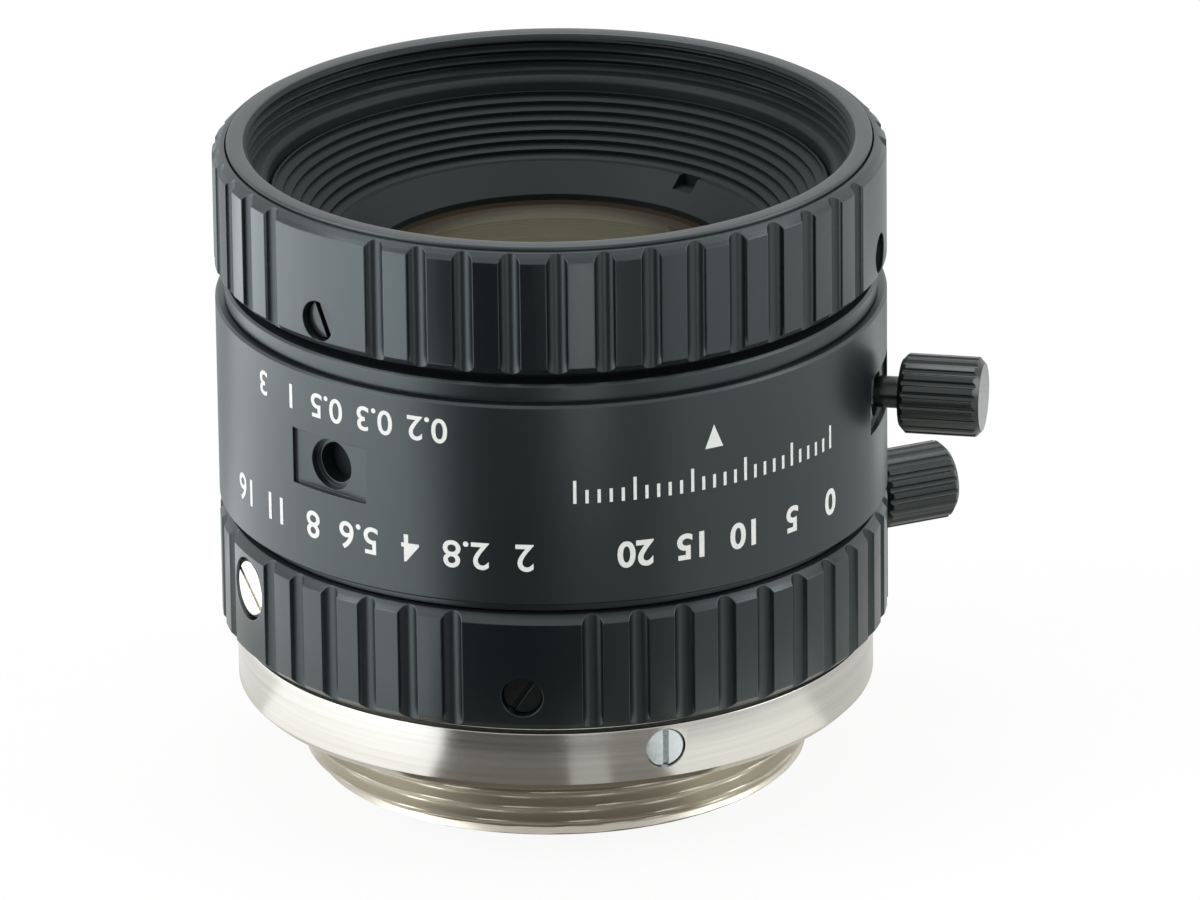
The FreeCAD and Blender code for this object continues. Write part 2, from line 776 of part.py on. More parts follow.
# Focus grip ring: an aluminium ring pushed up the sleeve against its rim. It
# has three rows of flutes, and three plain panels with a set screw in each.
focus_ring = new_body("focus_grip_ring")
focus_bore = f"({seat_radius} + seat_fit)"
rim_recess = f"({rim_radius} + rim_gap)"
turned(
    focus_ring,
    "Ring",
    [
        (focus_bore, focus_base_z),
        (f"{body_radius} - focus_ring_edge", focus_base_z),
        (body_radius, f"{focus_base_z} + focus_ring_edge"),
        (body_radius, f"{focus_top_z} - focus_ring_edge"),
        (f"{body_radius} - focus_ring_edge", focus_top_z),
        (rim_recess, focus_top_z),
        (rim_recess, rim_base),
        (focus_bore, rim_base),
    ],
)
focus_hole = turned(
    focus_ring,
    "ScrewHole",
    hole_outline(f"{focus_bore} - 1", past_body, tapped_radius),
    "Groove",
    "H_Axis",
    "focus_panel_turn",
    focus_screw_z,
)
around(focus_ring, "ScrewHoles", [focus_hole], "3")
for sector in range(3):
    first = f"(focus_panel_turn + {120 * sector} + {row_start})"
    flute_row(focus_ring, f"Flutes{sector}", focus_base_z, focus_top_z, first, row_count)
keep(focus_ring, "focus_grip_ring")

# Three set screws hold the focus grip ring on the sleeve
set_screws(
    "focus_set_screws",
    "focus_panel_turn",
    focus_screw_z,
    f"({seat_radius} + seat_fit / 2)",
    f"({body_radius} - set_screw_recess)",
    3,
    "25",
)

# Iris grip ring: it turns on the barrel's neck between the collar and the mount
# ring. The drive screw's head is sunk in it, in place of the middle flute of
# one row.
iris_ring = new_body("iris_grip_ring")
turned(
    iris_ring,
    "Ring",
    ring_outline(iris_bore, body_radius, iris_base_z, iris_top_z, "iris_ring_edge"),
)
drive_seat = f"({body_radius} - drive_head_recess - drive_head_height)"
turned(
    iris_ring,
    "DriveHole",
    [
        (f"{iris_bore} - 1", "0"),
        (past_body, "0"),
        (past_body, "drive_head_radius + drive_head_gap"),
        (drive_seat, "drive_head_radius + drive_head_gap"),
        (drive_seat, "drive_screw_radius + thread_fit"),
        (f"{iris_bore} - 1", "drive_screw_radius + thread_fit"),
    ],
    "Groove",
    "H_Axis",
    "drive_screw_turn",
    drive_z,
)
turned(
    iris_ring,
    "LockHole",
    hole_outline(f"{iris_bore} - 1", past_body, "lock_screw_radius + thread_fit"),
    "Groove",
    "H_Axis",
    "iris_panel_turn",
    iris_lock_z,
)
iris_hole = turned(
    iris_ring,
    "ScrewHole",
    hole_outline(f"{iris_bore} - 1", past_body, tapped_radius),
    "Groove",
    "H_Axis",
    "iris_panel_turn + 120",
    iris_screw_z,
)
around(iris_ring, "ScrewHoles", [iris_hole], "2", "120")
for sector in (0, 2):
    first = f"(iris_panel_turn + {120 * sector} + {row_start})"
    flute_row(iris_ring, f"Flutes{sector}", iris_base_z, iris_top_z, first, row_count)
half_row = f"(floor({row_count} / 2))"
for side in (-1, 1):
    inner_end = f"drive_screw_turn + {side} * {flute_pitch}"
    outer_end = f"drive_screw_turn + {side} * {flute_pitch} * {half_row}"
    first = f"({outer_end})" if side < 0 else f"({inner_end})"
    name = "FlutesBefore" if side < 0 else "FlutesAfter"
    flute_row(iris_ring, name, iris_base_z, iris_top_z, first, half_row)
keep(iris_ring, "iris_grip_ring")

# Two set screws fill the iris ring's other tapped holes
set_screws(
    "iris_set_screws",
    "iris_panel_turn + 120",
    iris_screw_z,
    f"({iris_bore} + 2 * face_gap)",
    f"({body_radius} - set_screw_recess)",
    2,
    "-35",
)

# Drive screw: nickel-plated, slotted. Its shank goes through the slots of the
# barrel and the optics barrel into the cam ring.
drive = new_body("iris_drive_screw")
drive_end = f"({body_radius} - drive_head_recess)"
drive_tip = f"({skirt_bore} + running_fit)"
head_edge = "(drive_head_gap * 1.5)"
turned(
    drive,
    "Screw",
    [
        (drive_tip, "0"),
        (drive_end, "0"),
        (drive_end, f"drive_head_radius - {head_edge}"),
        (f"{drive_end} - {head_edge}", "drive_head_radius"),
        (drive_seat, "drive_head_radius"),
        (drive_seat, "drive_screw_radius"),
        (drive_tip, "drive_screw_radius"),
    ],
    "Revolution",
    "H_Axis",
)
slot_cut(drive, drive_end, "(2 * drive_head_radius)", "drive_slot_tilt")
place_radially(drive, "drive_screw_turn", drive_z)
keep(drive, "iris_drive_screw")

# Optics barrel: it slides in the barrel and swivels in the focus sleeve. In
# front it opens in a funnel of fine undercut steps that trap stray light, and
# below the glass a land closes off the iris.
optics = new_body("optics_barrel")
step_width = "(funnel_width / funnel_steps)"
step_drop = "(funnel_depth / funnel_steps)"
funnel = []
for step in range(int(value("funnel_steps"))):
    crest_radius = f"{funnel_bore} + funnel_width - {step} * {step_width}"
    root_z = f"{funnel_top} - ({step} + funnel_wall_share) * {step_drop}"
    funnel.append((crest_radius, f"{funnel_top} - {step} * {step_drop}"))
    funnel.append((f"{crest_radius} + funnel_undercut", root_z))
second_lens_radius = "(front_lens_radius - second_lens_step_width)"
third_lens_radius = f"({second_lens_radius} - third_lens_step_width)"
third_lens_back_clear = f"({third_lens_radius} - third_lens_back_land)"
front_bore = "(front_lens_radius + seat_fit)"
second_bore = f"({second_lens_radius} + seat_fit)"
third_bore = f"({third_lens_radius} + seat_fit)"
turned(
    optics,
    "Tube",
    [
        (cam_bore, optics_base),
        (optics_lower_radius, optics_base),
        (optics_lower_radius, swivel_flange_z),
        (f"{swivel_radius} - running_fit", swivel_flange_z),
        (f"{swivel_radius} - running_fit", swivel_top_z),
        (optics_radius, swivel_top_z),
        (optics_radius, f"{funnel_top} - barrel_edge"),
        (f"{optics_radius} - barrel_edge", funnel_top),
        *funnel,
        (funnel_bore, funnel_floor),
        (funnel_bore, f"{front_lens_z} - face_gap"),
        (front_bore, f"{front_lens_z} - face_gap"),
        (front_bore, f"{second_lens_z} + bore_step_width"),
        (second_bore, f"{second_lens_z} + bore_step_width"),
        (second_bore, f"{third_lens_z} + bore_step_width"),
        (third_bore, f"{third_lens_z} + bore_step_width"),
        (third_bore, third_lens_back),
        (f"{third_lens_back_clear} + bore_step_width", third_lens_back),
        ("aperture_radius", land_z),
        (cam_bore, land_z),
    ],
)
turned(
    optics,
    "DriveWindow",
    [
        (skirt_bore, f"{drive_z} - focus_travel - {drive_half}"),
        (f"{optics_lower_radius} + running_fit", f"{drive_z} - focus_travel - {drive_half}"),
        (f"{optics_lower_radius} + running_fit", f"{drive_z} + {drive_half}"),
        (skirt_bore, f"{drive_z} + {drive_half}"),
    ],
    "Groove",
    "V_Axis",
    f"drive_screw_turn - {drive_swing}",
    "0",
    f"iris_range + 2 * {drive_swing}",
)
block_cut(
    optics,
    "Keyway",
    "guide_turn",
    f"({optics_lower_radius} - guide_depth)",
    lower_bore,
    f"({optics_base} - face_gap)",
    f"({guide_z} + guide_pin_radius + face_gap)",
    "(guide_pin_radius + running_fit)",
)
keep(optics, "optics_barrel")

# Front retaining ring: it screws down on the front lens. Its inner edge is a
# cone, and two notches take a spanner.
front_ring = new_body("front_retaining_ring")
front_ring_bore = "(front_lens_radius - front_lens_land)"
turned(
    front_ring,
    "Ring",
    [
        (front_ring_bore, front_lens_z),
        (front_ring_radius, front_lens_z),
        (front_ring_radius, funnel_floor),
        (f"{front_ring_bore} + front_cone_width", funnel_floor),
        (front_ring_bore, f"{front_lens_z} + front_ring_land"),
    ],
)
block_cut(
    front_ring,
    "SpannerSlot",
    "spanner_turn",
    f"(-{funnel_bore})",
    funnel_bore,
    f"({funnel_floor} - spanner_depth)",
    f"({funnel_floor} + face_gap)",
    "(spanner_width / 2)",
)
keep(front_ring, "front_retaining_ring")


def sag(curve, clear):
    """Depth of a spherical face: its radius of curvature over its clear radius."""
    return f"({curve} - sqrt({curve} ^ 2 - ({clear}) ^ 2))"


def lens(label, edge, front, back):
    """A ground lens. Each face is its seat height, its clear radius and its middle's height."""
    front_z, front_clear, front_middle = front
    back_z, back_clear, back_middle = back
    outline = [("0", back_middle, "dome")]
    if back_clear != edge:
        outline.append((back_clear, back_z))
    outline.append((edge, back_z))
    if front_clear == edge:
        outline.append((edge, front_z, "dome"))
    else:
        outline.append((edge, front_z))
        outline.append((front_clear, front_z, "dome"))
    outline.append(("0", front_middle))
    body = new_body(label)
    turned(body, "Glass", outline)
    keep(body, label)


def spacer(label, bore, base, step_z, top, lower_radius, upper_radius):
    """A spacer ring between two lenses: it is wider above a step, as the bore is."""
    body = new_body(label)
    turned(
        body,
        "Ring",
        [
            (bore, base),
            (lower_radius, base),
            (lower_radius, step_z),
            (upper_radius, step_z),
            (upper_radius, top),
            (bore, top),
        ],
    )
    keep(body, label)


# Front lens group, from the front: a meniscus, a biconvex lens and a meniscus,
# dropped into the optics barrel from the front with a spacer ring after each.
# A face that bulges is ground to a circle inside its spacer's bore.
front_lens_back_clear = "(front_lens_radius - front_lens_back_land)"
front_spacer_bore = f"({second_lens_radius} - spacer_land)"
second_spacer_bore = f"({third_lens_radius} - spacer_land)"
second_lens_clear = f"({front_spacer_bore} - lens_relief)"
inner_lens_clear = f"({second_spacer_bore} - lens_relief)"
lens(
    "front_lens",
    "front_lens_radius",
    (front_lens_z, front_ring_bore, f"{front_lens_z} + {sag('front_lens_curve', front_ring_bore)}"),
    (
        front_lens_back,
        front_lens_back_clear,
        f"{front_lens_back} + {sag('front_lens_back_curve', front_lens_back_clear)}",
    ),
)
spacer(
    "front_spacer",
    front_spacer_bore,
    second_lens_z,
    f"{second_lens_z} + bore_step_width + face_gap",
    front_lens_back,
    second_lens_radius,
    "front_lens_radius",
)
lens(
    "second_lens",
    second_lens_radius,
    (
        second_lens_z,
        second_lens_clear,
        f"{second_lens_z} + {sag('second_lens_curve', second_lens_clear)}",
    ),
    (
        second_lens_back,
        inner_lens_clear,
        f"{second_lens_back} - {sag('second_lens_back_curve', inner_lens_clear)}",
    ),
)
spacer(
    "second_spacer",
    second_spacer_bore,
    third_lens_z,
    f"{third_lens_z} + bore_step_width + face_gap",
    second_lens_back,
    third_lens_radius,
    second_lens_radius,
)
lens(
    "third_lens",
    third_lens_radius,
    (third_lens_z, inner_lens_clear, f"{third_lens_z} + {sag('third_lens_curve', inner_lens_clear)}"),
    (
        third_lens_back,
        third_lens_back_clear,
        f"{third_lens_back} + {sag('third_lens_back_curve', third_lens_back_clear)}",
    ),
)

# Iris base: a plate on the rear cell, with a pivot hole for each blade
blade_turn = "(360 / blades)"
iris_base = new_body("iris_base")
turned(
    iris_base,
    "Plate",
    [
        ("aperture_radius", cell_front),
        (blade_limit, cell_front),
        (blade_limit, base_top),
        ("aperture_radius", base_top),
    ],
)
pivot_hole = iris_base.newObject("PartDesign::SubtractiveCylinder", "PivotHole")
pivot_hole.AttachmentSupport = [(origin_part(iris_base, "XY_Plane"), "")]
pivot_hole.MapMode = "FlatFace"
bind(pivot_hole, "Radius", "blade_stud_radius + running_fit")
bind(pivot_hole, "Height", "2 * iris_base_thickness")
bind(pivot_hole, "AttachmentOffset.Base.x", blade_pivot_radius)
bind(pivot_hole, "AttachmentOffset.Base.z", f"{cell_front} - iris_base_thickness / 2")
iris_base.Tip = pivot_hole
around(iris_base, "PivotHoles", [pivot_hole], "blades")
keep(iris_base, "iris_base")


def turned_point(radius, degrees):
    """Point at a radius and turn about the optical axis."""
    angle = math.radians(degrees)
    return FreeCAD.Vector(radius * math.cos(angle), radius * math.sin(angle), 0)


def cam_point(ring_turn):
    """Centre of a blade's drive stud, seen from the cam ring, at a turn of the iris ring.

    The blade swings by a fixed share of the ring's turn, so this is the stud's
    circle about its pivot, wound back by the ring's own turn.
    """
    share = value("blade_swing") / value("iris_range")
    pivot = turned_point(value(blade_pivot_radius), 0)
    stud = pivot + turned_point(value("blade_arm"), 90 + share * ring_turn)
    return FreeCAD.Rotation(FreeCAD.Vector(0, 0, 1), -ring_turn).multVec(stud)


def cam_slot():
    """Solid cutter for one cam slot: a band of even width along the stud's path."""
    half_width = value("blade_stud_radius + running_fit")
    over_travel = 1
    nudge = 0.01
    turns = [
        -over_travel + (value("iris_range") + 2 * over_travel) * index / 12 for index in range(13)
    ]
    sides = ([], [])
    for ring_turn in turns:
        ahead = cam_point(ring_turn + nudge) - cam_point(ring_turn - nudge)
        ahead.normalize()
        across = FreeCAD.Vector(-ahead.y, ahead.x, 0) * half_width
        sides[0].append(cam_point(ring_turn) + across)
        sides[1].append(cam_point(ring_turn) - across)
    left, right = Part.BSplineCurve(), Part.BSplineCurve()
    left.interpolate(sides[0])
    right.interpolate(sides[1])
    caps = []
    for end, back_step in ((0, -1), (-1, 1)):
        ahead = cam_point(turns[end] + back_step * nudge) - cam_point(turns[end])
        ahead.normalize()
        caps.append(Part.Arc(sides[0][end], cam_point(turns[end]) + ahead * half_width, sides[1][end]))
    wire = Part.Wire(Part.__sortEdges__([curve.toShape() for curve in (left, right, *caps)]))
    lift = FreeCAD.Vector(0, 0, value(f"{cam_floor} - face_gap"))
    face = Part.Face(wire).translated(lift)
    return face.extrude(FreeCAD.Vector(0, 0, value("cam_disc_thickness + 2 * face_gap")))


# Cam ring: a brass disc with a skirt. The drive screw turns it by a slot in the
# skirt, which leaves the screw free as the optics move to focus, and each of its
# curved slots swings one blade.
cam_blank = new_body("cam_ring_blank")
disc_bore = f"({skirt_bore} - cam_disc_width)"
turned(
    cam_blank,
    "Ring",
    [
        (disc_bore, cam_floor),
        (skirt_bore, cam_floor),
        (skirt_bore, skirt_base),
        (cam_radius, skirt_base),
        (cam_radius, cam_top),
        (disc_bore, cam_top),
    ],
)
block_cut(
    cam_blank,
    "DriveSlot",
    "drive_screw_turn",
    f"({skirt_bore} - running_fit)",
    cam_bore,
    f"({skirt_base} - face_gap)",
    f"({drive_z} + {drive_half})",
    drive_half,
)
slot_cutters = doc.addObject("Part::Feature", "cam_slot_cutters")
one_slot = cam_slot()
slot_cutters.Shape = Part.makeCompound(
    [
        one_slot.rotated(FreeCAD.Vector(), FreeCAD.Vector(0, 0, 1), index * value(blade_turn))
        for index in range(int(value("blades")))
    ]
)
cam_ring = doc.addObject("Part::Cut", "iris_cam_ring")
cam_ring.Base = cam_blank
cam_ring.Tool = slot_cutters
keep(cam_ring, "iris_cam_ring")


def sector_plate(inner, outer, start, sweep, floor):
    """Flat plate between two radii and two turns, as thick as a blade."""
    up = FreeCAD.Vector(0, 0, 1)
    base = FreeCAD.Vector(0, 0, floor)
    thickness = value("blade_thickness")
    wide = Part.makeCylinder(outer, thickness, base, up, sweep)
    plate = wide.cut(Part.makeCylinder(inner, thickness, base, up, 360))
    return plate.rotated(FreeCAD.Vector(), up, start)


def iris_blade(index):
    """One blade: a curved leaf with a pivot stud below it and a drive stud above it.

    The blades lie one above another, so the studs' lengths differ.
    """
    floor = value(f"{base_top} + blade_spacing / 2") + index * value("blade_spacing")
    thickness = value("blade_thickness")
    inner = value("aperture_radius + blade_overlap")
    outer = value(f"{blade_pivot_radius} - blade_outer_margin")
    stud = value("blade_stud_radius")
    eye = stud + value("blade_eye_wall")
    up = FreeCAD.Vector(0, 0, 1)
    pivot = turned_point(value(blade_pivot_radius), 0)
    driven = pivot + turned_point(value("blade_arm"), 90)
    heel = math.degrees(math.atan2(driven.y, driven.x))
    tip = turned_point((inner + outer) / 2, value("blade_sweep"))
    lift = FreeCAD.Vector(0, 0, floor)
    leaf = sector_plate(inner, outer, 0, value("blade_sweep"), floor)
    rounds = [
        sector_plate(inner, pivot.x, 0, heel, floor),
        Part.makeCylinder((outer - inner) / 2, thickness, tip + lift, up),
        Part.makeCylinder(eye, thickness, pivot + lift, up),
        Part.makeCylinder(eye, thickness, driven + lift, up),
    ]
    pivot_foot = value(f"{cell_front} + face_gap")
    studs = [
        Part.makeCylinder(
            stud, floor - pivot_foot + thickness, pivot + FreeCAD.Vector(0, 0, pivot_foot), up
        ),
        Part.makeCylinder(stud, value(f"{cam_top} - face_gap") - floor, driven + lift, up),
    ]
    blade = leaf.multiFuse(rounds + studs).removeSplitter()
    return blade.rotated(FreeCAD.Vector(), up, index * value(blade_turn))


for index in range(int(value("blades"))):
    blade = doc.addObject("Part::Feature", f"iris_blade_{index + 1}")
    blade.Shape = iris_blade(index)
    keep(blade, f"iris_blade_{index + 1}")

# Rear cell: it screws into the optics barrel from behind, carries the iris base
# on its front face and holds the rear lens group.
cell = new_body("rear_cell")
cell_bore = f"({doublet_radius} + seat_fit)"
cell_flange_radius = f"({optics_lower_radius} - cell_flange_margin)"
doublet_front_clear = f"({doublet_radius} - doublet_front_land)"
rear_ring_bore = f"({cell_bore} + rear_ring_thread)"
turned(
    cell,
    "Tube",
    [
        (rear_ring_bore, cell_base),
        (cell_radius, cell_base),
        (cell_radius, f"{optics_base} - cell_flange_height"),
        (cell_flange_radius, f"{optics_base} - cell_flange_height"),
        (cell_flange_radius, optics_base),
        (f"{cam_bore} - seat_fit", optics_base),
        (f"{cam_bore} - seat_fit", cell_thread_top),
        (blade_limit, cell_thread_top),
        (blade_limit, cell_front),
        (f"{doublet_front_clear} + bore_step_width", cell_front),
        (f"{doublet_front_clear} + bore_step_width", doublet_z),
        (cell_bore, doublet_z),
        (cell_bore, f"{rear_lens_back} + face_gap"),
        (rear_ring_bore, f"{rear_lens_back} + face_gap"),
    ],
)
keep(cell, "rear_cell")

# Rear lens group: a cemented doublet and a biconvex lens, put in from behind
cement_middle = f"{cement_z} + {sag('doublet_cement_curve', doublet_radius)}"
doublet_back_clear = f"({doublet_radius} - doublet_back_land)"
rear_lens_clear = f"({doublet_radius} - rear_lens_land)"
rear_lens_back_clear = f"({doublet_radius} - rear_lens_back_land)"
lens(
    "doublet_front_lens",
    doublet_radius,
    (
        doublet_z,
        doublet_front_clear,
        f"{doublet_z} - {sag('doublet_front_curve', doublet_front_clear)}",
    ),
    (cement_z, doublet_radius, cement_middle),
)
lens(
    "doublet_rear_lens",
    doublet_radius,
    (cement_z, doublet_radius, cement_middle),
    (
        doublet_back,
        doublet_back_clear,
        f"{doublet_back} - {sag('doublet_back_curve', doublet_back_clear)}",
    ),
)
rear_spacer = new_body("rear_spacer")
turned(
    rear_spacer,
    "Ring",
    [
        (f"{rear_lens_clear} + bore_step_width", rear_lens_z),
        (doublet_radius, rear_lens_z),
        (doublet_radius, doublet_back),
        (f"{rear_lens_clear} + bore_step_width", doublet_back),
    ],
)
keep(rear_spacer, "rear_spacer")
lens(
    "rear_lens",
    doublet_radius,
    (rear_lens_z, rear_lens_clear, f"{rear_lens_z} + {sag('rear_lens_curve', rear_lens_clear)}"),
    (
        rear_lens_back,
        rear_lens_back_clear,
        f"{rear_lens_back} - {sag('rear_lens_back_curve', rear_lens_back_clear)}",
    ),
)

# Rear retaining ring, with a spanner slot across its rear face
rear_ring = new_body("rear_retaining_ring")
rear_ring_base = f"({rear_lens_back} - rear_ring_height)"
turned(
    rear_ring,
    "Ring",
    [
        (rear_lens_back_clear, rear_ring_base),
        (f"{rear_ring_bore} - seat_fit", rear_ring_base),
        (f"{rear_ring_bore} - seat_fit", rear_lens_back),
        (rear_lens_back_clear, rear_lens_back),
    ],
)
block_cut(
    rear_ring,
    "SpannerSlot",
    "spanner_turn",
    f"(-{rear_ring_bore})",
    rear_ring_bore,
    f"({rear_ring_base} - face_gap)",
    f"({rear_ring_base} + spanner_depth / 2)",
    "(spanner_width / 2)",
)
keep(rear_ring, "rear_retaining_ring")


def thumbscrew(label, turn, height, wall_bore):
    """A locking thumbscrew with a fluted knob, and the nylon pad that it presses."""
    pad = doc.addObject("Part::Cylinder", f"{label}_pad")
    pad.Placement.Rotation = FreeCAD.Rotation(
        FreeCAD.Vector(math.cos(math.radians(value(turn))), math.sin(math.radians(value(turn))), 0),
        FreeCAD.Vector(0, 0, 1),
    ).inverted()
    bind(pad, "Radius", "lock_pad_radius")
    bind(pad, "Height", "lock_pad_length")
    bind(pad, "Placement.Base.x", f"{wall_bore} * cos({turn})")
    bind(pad, "Placement.Base.y", f"{wall_bore} * sin({turn})")
    bind(pad, "Placement.Base.z", height)
    keep(pad, f"{label}_pad")
    screw = new_body(f"{label}_screw")
    tip = f"({wall_bore} + lock_pad_length + seat_fit)"
    knob_base = f"({body_radius} + lock_knob_gap)"
    knob_end = f"({knob_base} + lock_knob_length)"
    turned(
        screw,
        "Knob",
        [
            (tip, "0"),
            (knob_end, "0"),
            (knob_end, "lock_knob_radius - lock_knob_edge"),
            (f"{knob_end} - lock_knob_edge", "lock_knob_radius"),
            (f"{knob_base} + lock_knob_edge", "lock_knob_radius"),
            (knob_base, "lock_knob_radius - lock_knob_edge"),
            (knob_base, "lock_neck_radius"),
            (pocket_floor, "lock_neck_radius"),
            (counterbore_floor, "lock_screw_radius"),
            (tip, "lock_screw_radius"),
        ],
        "Revolution",
        "H_Axis",
    )
    cut_radius = "((lock_flute_width ^ 2 / 4 + lock_flute_depth ^ 2) / (2 * lock_flute_depth))"
    cutter = screw.newObject("PartDesign::SubtractiveCylinder", "Flute")
    cutter.AttachmentSupport = [(origin_part(screw, "YZ_Plane"), "")]
    cutter.MapMode = "FlatFace"
    bind(cutter, "Radius", cut_radius)
    bind(cutter, "Height", "lock_knob_length + lock_knob_edge")
    bind(cutter, "AttachmentOffset.Base.y", f"lock_knob_radius - lock_flute_depth + {cut_radius}")
    bind(cutter, "AttachmentOffset.Base.z", f"{knob_base} - lock_knob_edge / 2")
    screw.Tip = cutter
    flutes = screw.newObject("PartDesign::PolarPattern", "Flutes")
    flutes.Originals = [cutter]
    flutes.Axis = (origin_part(screw, "X_Axis"), [""])
    bind(flutes, "Occurrences", "lock_flutes")
    screw.Tip = flutes
    place_radially(screw, turn, height)
    keep(screw, f"{label}_screw")


# Locking thumbscrews: one in the barrel for the focus sleeve, one in the iris
# ring for the barrel's neck
thumbscrew("focus_lock", "focus_lock_turn", focus_lock_z, barrel_bore)
thumbscrew("iris_lock", "iris_panel_turn", iris_lock_z, iris_bore)

doc.recompute()
for item in doc.Objects:
    if "Invalid" in item.State or "Error" in item.State:
        raise RuntimeError(f"{item.Label} failed: {item.State}")
for label, piece in kept.items():
    if piece.Shape.isNull() or not piece.Shape.isValid():
        raise RuntimeError(f"{label} has no valid shape")
os.makedirs("parts", exist_ok=True)
for label, piece in kept.items():
    piece.Shape.exportStep(f"parts/{label}.step")
    print(label, len(piece.Shape.Solids), round(piece.Shape.Volume, 3))
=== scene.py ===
import math

import bpy
import numpy as np
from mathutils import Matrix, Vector


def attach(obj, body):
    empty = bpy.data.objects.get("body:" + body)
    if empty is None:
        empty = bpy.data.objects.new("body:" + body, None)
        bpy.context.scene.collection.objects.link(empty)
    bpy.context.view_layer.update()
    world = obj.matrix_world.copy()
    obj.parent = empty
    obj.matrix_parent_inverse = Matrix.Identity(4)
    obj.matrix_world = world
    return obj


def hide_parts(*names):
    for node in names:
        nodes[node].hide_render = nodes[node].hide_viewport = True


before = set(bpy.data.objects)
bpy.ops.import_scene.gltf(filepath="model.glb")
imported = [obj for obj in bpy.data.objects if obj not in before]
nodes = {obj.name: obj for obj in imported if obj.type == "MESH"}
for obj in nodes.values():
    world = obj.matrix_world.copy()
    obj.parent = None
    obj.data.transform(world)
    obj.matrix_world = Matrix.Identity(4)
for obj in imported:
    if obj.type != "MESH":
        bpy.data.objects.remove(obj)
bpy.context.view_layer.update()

# Mount ring. Free-cutting brass, turned in one piece with the camera thread and
# then nickel plated. The thread hangs under the flange, with a relief in the
# corner, and three slotted set screws clamp the ring on the barrel.
MM = 0.001
MOUNT_BORE = 11.2
THREAD_RADIUS = 12.7
THREAD_END = -3.8
THREAD_CHAMFER = 0.4
THREAD_PITCH = 25.4 / 32
THREAD_DEPTH = 0.61 * THREAD_PITCH
THREAD_FLAT = 1 / 8
THREAD_STEP = 0.045
RELIEF_RADIUS = 12.15
RELIEF_LENGTH = 0.7
RELIEF_HEIGHT = 0.2
SEAT_EDGE = 13.1
MOUNT_RADIUS = 16.0
MOUNT_EDGE = 0.4
MOUNT_HEIGHT = 3.15
BOSS_RADIUS = 15.5
BOSS_TOP = 3.5
CUP_RADIUS = 14.67
CUP_FLOOR = 0.8
MOUNT_SCREW_TURNS = (-70.4, 49.6, 169.6)
MOUNT_SCREW_Z = 1.95
TAPPED_RADIUS = 1.03
DRILL_PAST_WALL = 1.0
DRILL_START = 40.0
DRILL_SIDES = 48
EDGE_ROUND = 0.05
CORNER_POINTS = 4
CORNER_SHARE = 0.45
RING_COLUMNS = 360
SHARP_EDGE = math.radians(35)
NEAR = 0.01          # two sizes this close count as the same
BORE_CLEAR = 0.3     # the chamfer's test leaves the bore's own edge alone


def rounded(outline, radius):
    """Closed outline with each corner replaced by an arc.

    The arc runs from radius before the corner to radius after it, and takes no more than its
    share of a side. It is (1 - t)^2 start + 2 t (1 - t) corner + t^2 end."""
    corners = np.array(outline, dtype=float)
    sides = np.stack([np.roll(corners, 1, axis=0), np.roll(corners, -1, axis=0)]) - corners
    lengths = np.linalg.norm(sides, axis=2, keepdims=True)
    start, end = corners + sides / lengths * np.minimum(radius, CORNER_SHARE * lengths)
    t = np.linspace(0, 1, CORNER_POINTS)[None, :, None]
    pulled = 2 * t * (1 - t) * corners[:, None]
    return ((1 - t) ** 2 * start[:, None] + pulled + t**2 * end[:, None]).reshape(-1, 2)


def divided(outline, step, threaded):
    """Closed outline with its threaded runs divided into lengths of at most one step.

    A run is threaded where the test of radius and height holds at both of its ends."""
    ends = np.roll(outline, -1, axis=0)
    runs = ends - outline
    counts = np.maximum(1, np.ceil(np.linalg.norm(runs, axis=1) / step).astype(int))
    counts = np.where(threaded(*outline.T) & threaded(*ends.T), counts, 1)
    first = np.repeat(np.cumsum(counts) - counts, counts)
    share = (np.arange(counts.sum()) - first) / np.repeat(counts, counts)
    return np.repeat(outline, counts, axis=0) + np.repeat(runs, counts, axis=0) * share[:, None]


def ridge(phase):
    """Height of a 60-degree thread, 0 in the root and 1 on the crest.

    A triangle wave of the phase, cut flat at its top and bottom."""
    wave = 1 - np.abs(2 * (phase % 1) - 1)
    return np.clip((wave - THREAD_FLAT) / (1 - 2 * THREAD_FLAT), 0, 1)


def placed(name, data):
    """Object of the scene that holds a mesh, text, lamp or camera."""
    made = bpy.data.objects.new(name, data)
    bpy.context.scene.collection.objects.link(made)
    return made


def mesh_object(name, points, faces):
    """Closed mesh from points in millimetres, smooth but for its sharp corners."""
    mesh = bpy.data.meshes.new(name)
    mesh.from_pydata((points * MM).tolist(), [], faces.tolist())
    mesh.validate()
    mesh.shade_smooth()
    mesh.set_sharp_from_angle(angle=SHARP_EDGE)
    return placed(name, mesh)


def shown_mesh(piece):
    """New mesh of an object as it shows, with its text filled and its modifiers applied."""
    bpy.context.view_layer.update()
    graph = bpy.context.evaluated_depsgraph_get()
    return bpy.data.meshes.new_from_object(piece.evaluated_get(graph))


def turned_ring(name, outline, shape):
    """Ring turned about the optical axis: the outline's radius and height at every turn.

    Point = (r cos a, r sin a, z), where shape gives r and z from the outline and a. The grid
    of quads closes on itself both ways."""
    angle = np.linspace(0, 2 * math.pi, RING_COLUMNS, endpoint=False)[None, :]
    radius, height = shape(outline[:, 0, None], outline[:, 1, None], angle)
    places = np.broadcast_arrays(radius * np.cos(angle), radius * np.sin(angle), height)
    rows = len(outline)
    row, column = np.meshgrid(np.arange(rows), np.arange(RING_COLUMNS), indexing="ij")
    here = row * RING_COLUMNS
    below = (row + 1) % rows * RING_COLUMNS
    beside = (column + 1) % RING_COLUMNS
    faces = np.stack([here + column, here + beside, below + beside, below + column], axis=-1)
    return mesh_object(name, np.stack(places, axis=-1).reshape(-1, 3), faces.reshape(-1, 4))


